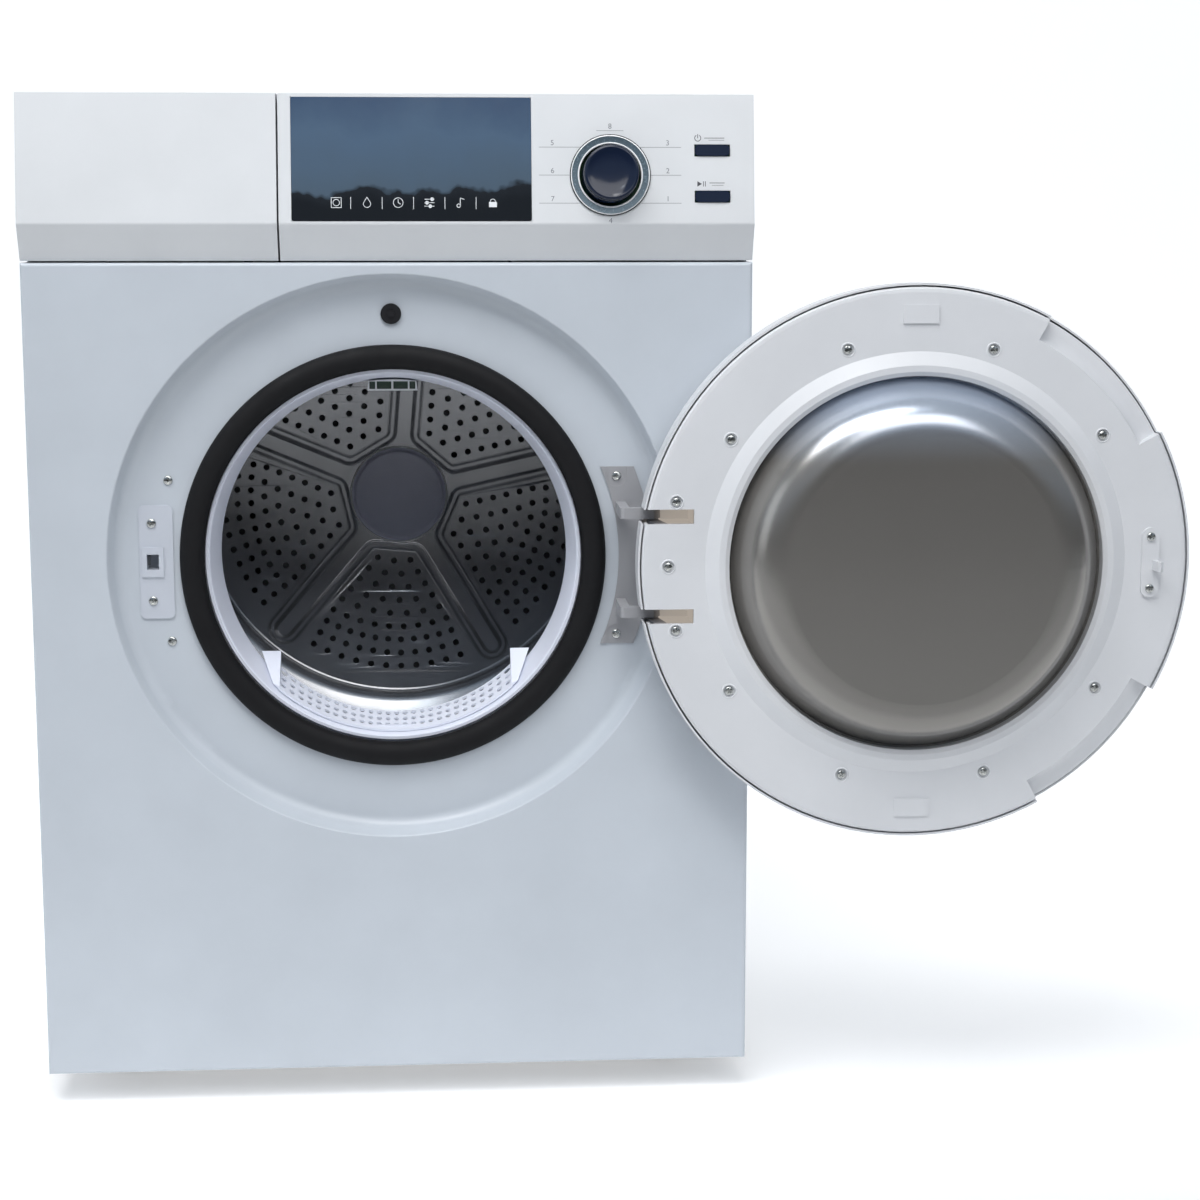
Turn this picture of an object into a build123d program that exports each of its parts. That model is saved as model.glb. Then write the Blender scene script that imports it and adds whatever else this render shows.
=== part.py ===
from build123d import *
import os
from math import asin, atan2, cos, degrees, radians, sin

os.makedirs("parts", exist_ok=True)

# A front-loading tumble dryer, in millimetres, drawn with its round door fully open.
# +Z is up, the front faces -Y, and the origin is on the floor under the cabinet's centre.

# Driving dimensions: the cabinet
cabinet_width = 595
cabinet_depth = 560
cabinet_height = 845
foot_height = 27
sheet = 1
front = -cabinet_depth / 2
half_width = cabinet_width / 2
opening_z = 465.3
panel_seam_z = 711.3
seam_gap = 1.5
panel_return = 18

# The dished recess of the front panel, and the round opening in it
dish_radius = 235
dish_depth = 18
dish_hole_radius = 171.5

# The control panel: its face leans back above a crease
crease_z = 741
crease_y = -9
face_top_y = 5
console_depth = 40
console_wall = 3
drawer_seam_x = -89.5

# The door: a round shell and ring that swing about a vertical pin line
hinge_x = 213.5
hinge_y = -22
ring_face_y = -56
ring_radius = 225.7
ring_hole_radius = 154.5
ring_wall = 2.5
ring_rise = 6
shell_radius = 228.7
door_thickness = 49
arm_z = 41
arm_thickness = 9
slot_height = 12
pin_radius = 3

# The drum and its drive
drum_radius = 262
drum_front_y = 68
drum_back_y = 470
drum_sheet = 1.2
mouth_radius = 158
shaft_radius = 10
running_clearance = 0.05
belt_y = 385
motor_x = 60
motor_z = 122
pulley_radius = 9
roller_radius = 18
roller_angle = 55

# What stands in the dish, measured from the opening's centre
switch_rise = 202.5
switch_neck_radius = 7
latch_x = -199.5
latch_drop = -2
latch_box_width = 24
latch_box_height = 60
latch_plate_x = -196.5
latch_screw_x = -200
latch_screw_levels = (30.5, -34.5)
bracket_screws = ((186.5, 67), (186.5, -67))
spare_screws = ((-185.5, 66), (-185.5, -69))

door_x = 2 * hinge_x
face_lean = atan2(face_top_y - crease_y, cabinet_height - crease_z)


def facing(depth, x=0, z=opening_z):
    """A plane that faces the user, at a depth behind the front, centred on (x, z)."""
    return Plane(origin=(x, front + depth, z), x_dir=(1, 0, 0), z_dir=(0, -1, 0))


def lengthways(x, z, depth=0):
    """A plane for profiles turned about a front-to-back line: x is radius, y is depth."""
    return Plane(origin=(x, front + depth, z), x_dir=(1, 0, 0), z_dir=(0, 0, 1))


def axis_at(x, z):
    return Axis((x, front, z), (0, 1, 0))


opening_axis = axis_at(0, opening_z)
door_axis = axis_at(door_x, opening_z)
door_profile = lengthways(door_x, opening_z, ring_face_y)
face_plane = Plane(
    origin=(0, front + crease_y, crease_z),
    x_dir=(1, 0, 0),
    z_dir=(0, -cos(face_lean), sin(face_lean)),
)


def finish(piece, name):
    piece.part.label = name
    export_step(piece.part, f"parts/{name}.step")


# --- Cabinet shell -------------------------------------------------------------------

# Base pan: a folded steel tray with a hole for each levelling foot's stud
foot_x = 240
foot_depths = (100, 480)
stud_radius = 5
pan_width = 590
pan_length = 536
pan_middle = 287
pan_rise = 26
with BuildPart() as base_pan:
    with BuildSketch(Plane.XY.offset(foot_height)):
        with Locations((0, front + pan_middle)):
            Rectangle(pan_width, pan_length)
    extrude(amount=pan_rise)
    with BuildSketch(Plane.XY.offset(foot_height + 2)):
        with Locations((0, front + pan_middle)):
            Rectangle(pan_width - 4, pan_length - 4)
    extrude(amount=pan_rise, mode=Mode.SUBTRACT)
    for foot_depth in foot_depths:
        with BuildSketch(Plane.XY.offset(foot_height)):
            with Locations((-foot_x, front + foot_depth), (foot_x, front + foot_depth)):
                Circle(12)
        extrude(amount=14)
        with BuildSketch(Plane.XY.offset(foot_height)):
            with Locations((-foot_x, front + foot_depth), (foot_x, front + foot_depth)):
                Circle(stud_radius + running_clearance)
        extrude(amount=14, mode=Mode.SUBTRACT)
finish(base_pan, "base_pan")

# Side panels: flat sheets with a rear fold, cut back where the control panel wraps round
top_cover_height = 21
for side, name in ((-1, "side_panel_left"), (1, "side_panel_right")):
    inner_x = side * half_width - (sheet if side > 0 else 0)
    with BuildPart() as side_panel:
        with BuildSketch(Plane.YZ.offset(inner_x)):
            with BuildLine():
                Polyline(
                    (front + panel_return + seam_gap, foot_height),
                    (front + cabinet_depth, foot_height),
                    (front + cabinet_depth, cabinet_height - top_cover_height),
                    (front + console_depth + seam_gap, cabinet_height - top_cover_height),
                    (front + console_depth + seam_gap, panel_seam_z - seam_gap),
                    (front + panel_return + seam_gap, panel_seam_z - seam_gap),
                    close=True,
                )
            make_face()
        extrude(amount=sheet)
        fold_x = side * (half_width - 7)
        with BuildSketch(facing(cabinet_depth, fold_x, (foot_height + 824) / 2)):
            Rectangle(14, 824 - foot_height)
        extrude(amount=sheet)
    finish(side_panel, name)

# Rear panel: inside the side folds, with the drum bearing's hole and hot-air slots
rear_y = cabinet_depth - sheet
rear_middle = (cabinet_height - top_cover_height + foot_height) / 2
gland_x = -200
gland_z = 95
with BuildPart() as rear_panel:
    with BuildSketch(facing(rear_y, 0, rear_middle)):
        Rectangle(cabinet_width - 2 * sheet - 1, cabinet_height - top_cover_height - foot_height)
        with Locations((0, opening_z - rear_middle)):
            Circle(30, mode=Mode.SUBTRACT)
            with PolarLocations(150, 10, 18):
                SlotOverall(70, 22, rotation=90, mode=Mode.SUBTRACT)
        with Locations((gland_x, gland_z - rear_middle)):
            Circle(11, mode=Mode.SUBTRACT)
    extrude(amount=sheet)
finish(rear_panel, "rear_panel")

# Top cover: a shallow steel lid behind the control panel
with BuildPart() as top_cover:
    with BuildSketch(Plane.XY.offset(cabinet_height)):
        with Locations((0, (front + console_depth + seam_gap + front + cabinet_depth) / 2)):
            Rectangle(cabinet_width, cabinet_depth - console_depth - seam_gap)
    extrude(amount=-(top_cover_height - seam_gap))
    fillet(top_cover.edges().group_by(Axis.Z)[-1], radius=3)
    with BuildSketch(Plane.XY.offset(cabinet_height - sheet)):
        with Locations((0, (front + console_depth + seam_gap + front + cabinet_depth) / 2)):
            Rectangle(cabinet_width - 2 * sheet, cabinet_depth - console_depth - seam_gap - 2 * sheet)
    extrude(amount=-(top_cover_height - seam_gap), mode=Mode.SUBTRACT)
finish(top_cover, "top_cover")

# Front panel: a sheet with folded sides, and the round dish pressed into it
front_height = panel_seam_z - seam_gap - foot_height
front_middle = foot_height + front_height / 2
with BuildPart() as front_panel:
    with BuildSketch(facing(0, 0, front_middle)):
        Rectangle(cabinet_width, front_height)
    extrude(amount=-panel_return)
    fillet(front_panel.edges().group_by(Axis.Y)[0], radius=3)
    with BuildSketch(facing(sheet, 0, front_middle)):
        Rectangle(cabinet_width - 2 * sheet, front_height - 2 * sheet)
    extrude(amount=-panel_return, mode=Mode.SUBTRACT)
    with BuildSketch(facing(0)):
        Circle(dish_radius + 1)
    extrude(amount=-sheet, mode=Mode.SUBTRACT)
    with BuildSketch(lengthways(0, opening_z)):
        with BuildLine():
            ThreePointArc((dish_radius + 1, 0), (dish_radius + 0.2, 0.5), (dish_radius - 0.4, 1.5))
            Line((dish_radius - 0.4, 1.5), (dish_radius - 3.5, 11))
            ThreePointArc((dish_radius - 3.5, 11), (dish_radius - 6.6, 15.6), (dish_radius - 14, dish_depth))
            Polyline(
                (dish_radius - 14, dish_depth),
                (dish_hole_radius + 0.5, dish_depth),
                (dish_hole_radius + 0.5, dish_depth + sheet),
                (dish_radius - 13.7, dish_depth + sheet),
            )
            ThreePointArc(
                (dish_radius - 13.7, dish_depth + sheet), (dish_radius - 5.8, 16.2), (dish_radius - 2.6, 11.3)
            )
            Polyline((dish_radius - 2.6, 11.3), (dish_radius + 1, sheet), (dish_radius + 1, 0))
        make_face()
    revolve(axis=opening_axis)
    with BuildSketch(facing(dish_depth - 1)):
        with Locations((0, switch_rise)):
            Circle(switch_neck_radius + 0.1)
        with Locations((latch_x, latch_drop)):
            Rectangle(latch_box_width - 1.6, latch_box_height - 1.6)
    extrude(amount=-4, mode=Mode.SUBTRACT)
finish(front_panel, "front_panel")

# --- Control panel -------------------------------------------------------------------


def console_outline(grow):
    """The control panel's side outline, shrunk inwards by grow."""
    Polyline(
        (front + 4 + grow * 1.1, panel_seam_z + grow),
        (front + crease_y + grow, crease_z + grow * 0.2),
        (front + face_top_y + grow, cabinet_height - grow),
        (front + console_depth + 5 * (grow > 0), cabinet_height - grow),
        (front + console_depth + 5 * (grow > 0), panel_seam_z + grow),
        close=True,
    )


window_centre_x = 18.5
window_width = 194
window_height = 100
window_middle = 52
window_glass = 2.5
knob_x = 179.5
knob_height = 39.4
bezel_radius = 33
knob_hole_radius = 25.25
button_x = 263
power_height = 59.6
start_height = 22.1
button_width = 28.5
button_height = 9
button_gap = 0.4

with BuildPart() as control_panel:
    with BuildSketch(Plane.YZ.offset(drawer_seam_x + 0.8)):
        with BuildLine():
            console_outline(0)
        make_face()
    extrude(amount=half_width - drawer_seam_x - 0.8)
    fillet(control_panel.edges().filter_by(Axis.X).group_by(Axis.Y)[0], radius=4)
    with BuildSketch(Plane.YZ.offset(drawer_seam_x + 0.8 + console_wall)):
        with BuildLine():
            console_outline(console_wall)
        make_face()
    extrude(amount=half_width - drawer_seam_x - 0.8 - 2 * console_wall, mode=Mode.SUBTRACT)
    # The window's pocket and the cable gap behind it
    with BuildSketch(face_plane.offset(-window_glass)):
        with Locations((window_centre_x, window_middle)):
            Rectangle(window_width, window_height)
    extrude(amount=2 * window_glass, mode=Mode.SUBTRACT)
    with BuildSketch(face_plane.offset(-2 * console_wall)):
        with Locations((window_centre_x, window_middle)):
            Rectangle(window_width - 12, window_height - 16)
        with Locations((knob_x, knob_height)):
            Circle(knob_hole_radius)
        with Locations((button_x, power_height), (button_x, start_height)):
            Rectangle(button_width + 2 * button_gap, button_height + 2 * button_gap)
    extrude(amount=3 * console_wall, mode=Mode.SUBTRACT)
    # Posts for the circuit board
    with BuildSketch(face_plane.offset(-console_wall + 0.5)):
        with Locations((130, 12), (225, 12), (225, 84), (130, 84)):
            Circle(3)
    extrude(amount=-20.5)
finish(control_panel, "control_panel")

# Display window: a black glossy plate set into the panel's face
with BuildPart() as display_window:
    with BuildSketch(face_plane.offset(-window_glass)):
        with Locations((window_centre_x, window_middle)):
            RectangleRounded(window_width - 0.4, window_height - 0.4, 2)
    extrude(amount=window_glass + 0.3)
finish(display_window, "display_window")

# Dial bezel: a ring round the knob, proud of the face
with BuildPart() as dial_bezel:
    with BuildSketch(face_plane):
        with Locations((knob_x, knob_height)):
            Circle(bezel_radius)
            Circle(knob_hole_radius, mode=Mode.SUBTRACT)
    extrude(amount=1.6)
    fillet(dial_bezel.edges().group_by(Axis.Y)[0], radius=0.6)
finish(dial_bezel, "dial_bezel")

# Control board, with the selector switch and its shaft on it
board_depth = 23
selector_shaft_radius = 3
with BuildPart() as control_board:
    with BuildSketch(face_plane.offset(-board_depth)):
        with Locations((105, 48)):
            Rectangle(360, 84)
    extrude(amount=-1.6)
    with BuildSketch(face_plane.offset(-board_depth)):
        with Locations((knob_x, knob_height)):
            Circle(9)
    extrude(amount=7)
    with BuildSketch(face_plane.offset(-board_depth + 7)):
        with Locations((knob_x, knob_height)):
            Circle(selector_shaft_radius)
    extrude(amount=22)
    with BuildSketch(face_plane.offset(-board_depth)):
        with Locations((window_centre_x, window_middle)):
            Rectangle(150, 60)
    extrude(amount=14)
finish(control_board, "control_board")

# Programme knob: a hollow cap on the selector's shaft
knob_radius = 23
knob_height_out = 17
with BuildPart() as programme_knob:
    with BuildSketch(face_plane.offset(-2)):
        with Locations((knob_x, knob_height)):
            Circle(knob_radius)
    extrude(amount=knob_height_out + 2, taper=2)
    fillet(programme_knob.edges().group_by(Axis.Y)[0], radius=2.5)
    with BuildSketch(face_plane.offset(-2)):
        with Locations((knob_x, knob_height)):
            Circle(knob_radius - 3)
            Circle(7, mode=Mode.SUBTRACT)
    extrude(amount=knob_height_out - 1, mode=Mode.SUBTRACT)
    with BuildSketch(face_plane.offset(-2)):
        with Locations((knob_x, knob_height)):
            Circle(selector_shaft_radius + running_clearance)
    extrude(amount=12, mode=Mode.SUBTRACT)
finish(programme_knob, "programme_knob")

# Push buttons: a long cap with a stem that reaches towards the board's switch
button_proud = 1.2
button_travel = 2.5
for height, name in ((power_height, "power_button"), (start_height, "start_button")):
    with BuildPart() as push_button:
        with BuildSketch(face_plane.offset(-6)):
            with Locations((button_x, height)):
                RectangleRounded(button_width, button_height, 3.5)
        extrude(amount=6 + button_proud)
        with BuildSketch(face_plane.offset(-6)):
            with Locations((button_x, height)):
                Circle(2.5)
        extrude(amount=-(board_depth - 6 - button_travel - 1))
    finish(push_button, name)

# Tank drawer: the control panel's left part is the front of the pull-out water tank
with BuildPart() as tank_front:
    with BuildSketch(Plane.YZ.offset(-half_width)):
        with BuildLine():
            console_outline(0)
        make_face()
    extrude(amount=half_width + drawer_seam_x - 0.8)
    fillet(tank_front.edges().filter_by(Axis.X).group_by(Axis.Y)[0], radius=4)
    with BuildSketch(Plane.YZ.offset(-half_width + console_wall)):
        with BuildLine():
            console_outline(console_wall)
        make_face()
    extrude(amount=half_width + drawer_seam_x - 0.8 - 2 * console_wall, mode=Mode.SUBTRACT)
    # A finger recess under the lower edge, to pull the drawer by
    with BuildSketch(Plane.XY.offset(panel_seam_z - 1)):
        with Locations((-195, front + 24)):
            RectangleRounded(90, 20, 6)
    extrude(amount=console_wall + 2, mode=Mode.SUBTRACT)
finish(tank_front, "tank_front")

tank_left = -286
tank_width = 185
tank_floor_z = 722
tank_rise = 104
tank_start = console_depth + 1
tank_length = 430
tank_wall = 2.5
tank_middle_x = tank_left + tank_width / 2
tray_inlet_z = tank_floor_z + 12
pump_x = -150
with BuildPart() as water_tank:
    with BuildSketch(Plane.XY.offset(tank_floor_z)):
        with Locations((tank_middle_x, front + tank_start + tank_length / 2)):
            RectangleRounded(tank_width, tank_length, 10)
    extrude(amount=tank_rise - 6)
    with BuildSketch(Plane.XY.offset(tank_floor_z + tank_wall)):
        with Locations((tank_middle_x, front + tank_start + tank_length / 2)):
            RectangleRounded(tank_width - 2 * tank_wall, tank_length - 2 * tank_wall, 8)
    extrude(amount=tank_rise, mode=Mode.SUBTRACT)
    # Two arms hook the tank to the back of the drawer's front
    with BuildSketch(facing(tank_start, tank_middle_x, tank_floor_z + 25)):
        with GridLocations(120, 1, 2, 1):
            Rectangle(14, 30)
    extrude(amount=42)
finish(water_tank, "water_tank")

with BuildPart() as tank_tray:
    with BuildSketch(facing(tank_start + 10, tank_middle_x, tank_floor_z + 12)):
        Rectangle(tank_width + 9, 32)
        with Locations((0, 2.5)):
            Rectangle(tank_width + 5, 32, mode=Mode.SUBTRACT)
    extrude(amount=-(tank_length + 10))
    with BuildSketch(facing(tank_start + tank_length + 18, tank_middle_x, tank_floor_z + 12)):
        Rectangle(tank_width + 9, 32)
        with Locations((pump_x - tank_middle_x, 0)):
            Circle(5.5, mode=Mode.SUBTRACT)
    extrude(amount=-2)
finish(tank_tray, "tank_tray")

# --- Round the opening ---------------------------------------------------------------

# Door seal: a bulbous rubber ring seated in the dish's hole
with BuildPart() as door_seal:
    with BuildSketch(lengthways(0, opening_z)):
        with BuildLine():
            Line((158, 22), (157, 15))
            ThreePointArc((157, 15), (167, 6.5), (177.3, 14))
            Line((177.3, 14), (177.3, dish_depth - 0.2))
            Line((177.3, dish_depth - 0.2), (dish_hole_radius, dish_depth - 0.2))
            Line((dish_hole_radius, dish_depth - 0.2), (dish_hole_radius, 26))
            Line((dish_hole_radius, 26), (160, 26))
            Line((160, 26), (158, 22))
        make_face()
    revolve(axis=opening_axis)
finish(door_seal, "door_seal")

# Front bulkhead: the plate behind the front panel that carries the collar and rollers
bulkhead_y = 40
filter_half_width = 86
with BuildPart() as front_bulkhead:
    with BuildSketch(facing(bulkhead_y, 0, 440)):
        Rectangle(cabinet_width - 12, 530)
        with Locations((0, opening_z - 440)):
            Circle(mouth_radius, mode=Mode.SUBTRACT)
        with Locations((0, -183.5)):
            Rectangle(2 * filter_half_width + 12, 167, mode=Mode.SUBTRACT)
    extrude(amount=-2)
finish(front_bulkhead, "front_bulkhead")

# Opening collar: a white ring from the seal to the drum's mouth, with the filter's slot
collar_back = 62
with BuildPart() as opening_collar:
    with BuildSketch(lengthways(0, opening_z)):
        with BuildLine():
            Polyline(
                (153.2, 24.5),
                (154.2, 23),
                (156.6, 23),
                (157.4, 24.5),
                (157.4, 27),
                (172, 27),
                (172, 29.5),
                (157.5, 29.5),
                (154, 60),
                (151.5, collar_back),
                (146.5, collar_back),
                (146.5, collar_back - 3),
                close=True,
            )
        make_face()
    revolve(axis=opening_axis)
    with BuildSketch(Plane.XY.offset(opening_z - 170)):
        with Locations((0, front + 45.5)):
            Rectangle(2 * filter_half_width + 8, 24)
    extrude(amount=60, mode=Mode.SUBTRACT)
finish(opening_collar, "opening_collar")

# Lint duct: leads the air down from the filter, and back into the blower
duct_top = opening_z - 158
duct_bottom = 80
duct_middle = front + 45.5
duct_outlet_radius = 26
with BuildPart() as lint_duct:
    with BuildSketch(Plane.XY.offset(duct_bottom)):
        with Locations((0, duct_middle)):
            Rectangle(2 * filter_half_width + 6, 29)
    extrude(amount=duct_top - duct_bottom)
    with BuildSketch(facing(60, motor_x, motor_z)):
        Circle(duct_outlet_radius + 2)
    extrude(amount=-31.8)
    with BuildSketch(Plane.XY.offset(duct_bottom + 2)):
        with Locations((0, duct_middle)):
            Rectangle(2 * filter_half_width + 2, 25)
    extrude(amount=duct_top - duct_bottom, mode=Mode.SUBTRACT)
    with BuildSketch(facing(50, motor_x, motor_z)):
        Circle(duct_outlet_radius)
    extrude(amount=-50, mode=Mode.SUBTRACT)
finish(lint_duct, "lint_duct")

# Lint filter: a cassette under the sloping cover that lies in the opening's floor
cover_start = 30
cover_end = 65
cover_front_radius = 149.5
cover_rear_radius = 140.5
cover_wall = 2
cover_half_angle = 44
cover_slope = (cover_front_radius - cover_rear_radius) / (cover_end - cover_start)
frame_start = duct_middle - front - 9.5
frame_end = duct_middle - front + 9.5


def cover_radius_at(depth):
    """The radius of the cover's upper face, which narrows towards the drum."""
    return cover_front_radius - cover_slope * (depth - cover_start)


with BuildPart() as lint_filter:
    with BuildSketch(lengthways(0, opening_z)):
        with BuildLine():
            Polyline(
                (cover_front_radius, cover_start),
                (cover_rear_radius, cover_end),
                (cover_rear_radius + cover_wall, cover_end),
                (cover_front_radius + cover_wall, cover_start),
                close=True,
            )
        make_face()
    revolve(axis=opening_axis)
    # Only the sector round the bottom is kept
    with BuildSketch(facing(cover_start)):
        with BuildLine():
            side_reach = 300 * sin(radians(cover_half_angle))
            low_reach = -300 * cos(radians(cover_half_angle))
            Polyline((0, 0), (-side_reach, low_reach), (side_reach, low_reach), close=True)
        make_face()
    extrude(amount=cover_start - cover_end, mode=Mode.INTERSECT)
    # The two end caps of the cover
    with BuildSketch(facing(46)):
        for end_side in (-1, 1):
            with BuildLine():
                Polyline(
                    (end_side * 98.5, -96.3),
                    (end_side * 109.2, -96.3),
                    (end_side * 98.5, -107.2),
                    close=True,
                )
            make_face()
    extrude(amount=-17)
    # The frame that hangs in the duct, trimmed along the cover's slope
    with BuildSketch(Plane.XY.offset(opening_z - 234)):
        with Locations((0, duct_middle)):
            Rectangle(2 * filter_half_width - 2, frame_end - frame_start)
            Rectangle(2 * filter_half_width - 8, frame_end - frame_start - 6, mode=Mode.SUBTRACT)
    extrude(amount=124)
    with BuildSketch(lengthways(0, opening_z)):
        with BuildLine():
            Polyline(
                (0, frame_start - 1),
                (cover_radius_at(frame_start - 1), frame_start - 1),
                (cover_radius_at(frame_end + 1), frame_end + 1),
                (0, frame_end + 1),
                close=True,
            )
        make_face()
    revolve(axis=opening_axis, mode=Mode.SUBTRACT)
finish(lint_filter, "lint_filter")

# Lamp housing: the drum light's frame with its four cells, under the collar's top
lamp_front = 50
lamp_cells = ((-16.8, 5), (-6.95, 12.3), (6.95, 12.3), (16.8, 5))
with BuildPart() as lamp_housing:
    with BuildSketch(facing(lamp_front)):
        with Locations((0, 143.5)):
            Trapezoid(42, 13, 97, rotation=180)
        Circle(146.3, mode=Mode.INTERSECT)
    extrude(amount=-11)
    with BuildSketch(facing(lamp_front, 0, opening_z + 141.5)):
        for cell_x, cell_width in lamp_cells:
            with Locations((cell_x, 0)):
                Rectangle(cell_width, 6.5)
    extrude(amount=-8, mode=Mode.SUBTRACT)
finish(lamp_housing, "lamp_housing")

# Hinge bracket: a plate with two gooseneck arms that end in pin bosses
bracket_plate = 2
bracket_seat = 1
bracket_end = 75
bracket_inner_radius = 188.5
seat_radius = 8.5
plate_front = dish_depth - bracket_plate
arm_x = 190
arm_width = 8
with BuildPart() as hinge_bracket:
    with BuildSketch(facing(dish_depth)):
        with BuildLine():
            Polyline(
                (172, bracket_end),
                (201, bracket_end),
                (209, 52),
                (209, -52),
                (201, -bracket_end),
                (172, -bracket_end),
                close=True,
            )
        make_face()
        Circle(bracket_inner_radius, mode=Mode.SUBTRACT)
        with Locations(*bracket_screws):
            Circle(2.6, mode=Mode.SUBTRACT)
    extrude(amount=bracket_plate)
    with BuildSketch(facing(dish_depth - bracket_seat)):
        with Locations(*bracket_screws):
            Circle(seat_radius)
        with Locations((bracket_screws[0][0], bracket_end), (bracket_screws[1][0], -bracket_end)):
            Rectangle(2 * seat_radius, 2 * (bracket_end - bracket_screws[0][1]))
    extrude(amount=bracket_plate, mode=Mode.SUBTRACT)
    for arm_level in (-arm_z, arm_z):
        arm_bottom = opening_z + arm_level - arm_thickness / 2
        with BuildSketch(Plane.XY.offset(arm_bottom)):
            with Locations((arm_x, front + (plate_front - 32) / 2)):
                RectangleRounded(arm_width, plate_front + 32, 3.5)
            with Locations((arm_x, front + plate_front - 3)):
                Rectangle(arm_width, 6)
            with Locations(((arm_x - 4 + hinge_x) / 2, front - 28)):
                RectangleRounded(hinge_x - arm_x + 4, arm_width, 3.5)
            with Locations((hinge_x - 3, front - 28)):
                Rectangle(6, arm_width)
            with Locations((hinge_x, front + hinge_y)):
                Circle(6)
                Circle(pin_radius + running_clearance, mode=Mode.SUBTRACT)
        extrude(amount=arm_thickness)
finish(hinge_bracket, "hinge_bracket")

# Latch housing: the receiver plate on the dish's floor, with the box behind it
with BuildPart() as latch_housing:
    with BuildSketch(facing(dish_depth)):
        with Locations((latch_plate_x, latch_drop)):
            RectangleRounded(28, 95, 5)
    extrude(amount=1.5)
    with BuildSketch(facing(dish_depth - 1.5)):
        with Locations((latch_x, latch_drop)):
            RectangleRounded(18, 25, 1)
    extrude(amount=1.3)
    with BuildSketch(facing(dish_depth + sheet)):
        with Locations((latch_x, latch_drop)):
            Rectangle(latch_box_width, latch_box_height)
    extrude(amount=-20)
    with BuildSketch(facing(dish_depth)):
        with Locations((latch_x, latch_drop)):
            Rectangle(latch_box_width - 2, latch_box_height - 2)
    extrude(amount=-sheet)
    with BuildSketch(facing(dish_depth - 3)):
        with Locations((latch_x, latch_drop)):
            Rectangle(10, 13)
    extrude(amount=-19, mode=Mode.SUBTRACT)
    with BuildSketch(facing(dish_depth + 4)):
        with Locations((latch_x, latch_drop)):
            Rectangle(19, 8.6)
    extrude(amount=-12, mode=Mode.SUBTRACT)
    with BuildSketch(facing(dish_depth)):
        for level in latch_screw_levels:
            with Locations((latch_screw_x, level)):
                Circle(2.6)
    extrude(amount=1.5, mode=Mode.SUBTRACT)
finish(latch_housing, "latch_housing")

# Latch catch: the sprung wedge that holds the door's tongue
with BuildPart() as latch_catch:
    with BuildSketch(Plane.XY.offset(opening_z + latch_drop - 4)):
        with BuildLine():
            Polyline(
                (latch_x - 6.5, front + dish_depth + 5),
                (latch_x - 3.6, front + dish_depth + 10),
                (latch_x - 3.6, front + dish_depth + 14),
                (latch_x - 6.5, front + dish_depth + 14),
                close=True,
            )
        make_face()
    extrude(amount=8)
finish(latch_catch, "latch_catch")

# Door switch: a round body with a sprung centre plunger
switch_z = opening_z + switch_rise
with BuildPart() as door_switch_body:
    with BuildSketch(facing(dish_depth, 0, switch_z)):
        Circle(8.5)
    extrude(amount=2.5)
    with BuildSketch(facing(dish_depth, 0, switch_z)):
        Circle(switch_neck_radius)
    extrude(amount=-11)
    with BuildSketch(facing(dish_depth - 3, 0, switch_z)):
        Circle(3 + running_clearance)
    extrude(amount=-13, mode=Mode.SUBTRACT)
finish(door_switch_body, "door_switch_body")

with BuildPart() as door_switch_plunger:
    with BuildSketch(facing(14, 0, switch_z)):
        Circle(3)
    extrude(amount=-9)
finish(door_switch_plunger, "door_switch_plunger")

# Screws on the dish's floor: two for the bracket, two for the latch and two spare
screw_head = 4
screw_head_rise = 1.6
screw_shank = 2.3
latch_screws = [(latch_screw_x, level) for level in latch_screw_levels]
with BuildPart() as cabinet_screws:
    for spots, plate in ((bracket_screws, bracket_seat), (latch_screws, 1.5), (spare_screws, 0)):
        with BuildSketch(facing(dish_depth - plate)):
            with Locations(*spots):
                Circle(screw_head)
        extrude(amount=screw_head_rise)
        if plate:
            with BuildSketch(facing(dish_depth - plate)):
                with Locations(*spots):
                    Circle(screw_shank)
            extrude(amount=-plate)
finish(cabinet_screws, "cabinet_screws")

# --- Drum ----------------------------------------------------------------------------

# Drum shell: the cylinder with its front wall and rolled mouth
with BuildPart() as drum_shell:
    with BuildSketch(lengthways(0, opening_z)):
        with BuildLine():
            Polyline(
                (mouth_radius, drum_front_y),
                (mouth_radius + drum_sheet, drum_front_y),
                (mouth_radius + drum_sheet, 78),
                (drum_radius - 12, 84),
                (drum_radius, 94),
                (drum_radius, drum_back_y),
                (drum_radius - drum_sheet, drum_back_y),
                (drum_radius - drum_sheet, 94.5),
                (drum_radius - 12.5, 85.2),
                (mouth_radius, 79.2),
                close=True,
            )
        make_face()
    revolve(axis=opening_axis)
finish(drum_shell, "drum_shell")

# Drum back wall: a dished disc with a raised, five-armed star round its hub
star_rise = 5
star_middle = 58
arm_length = 170
arm_width = 26
arm_radius = 115
wall_y = 492
wall_dish = 12
wall_edge = 204
wall_sheet = 1.5
wall_bed = 0.5
wall_front = wall_y - wall_dish
rim_front = drum_back_y - 4
rim_radius = drum_radius - drum_sheet - 0.1


def wall_arc(shift):
    """The wall's dish from its middle to its edge, moved back by shift."""
    return ThreePointArc(
        (0, wall_y + shift),
        (wall_edge / 2, wall_y - wall_dish / 4 + shift),
        (wall_edge, wall_front + shift),
    )


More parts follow.
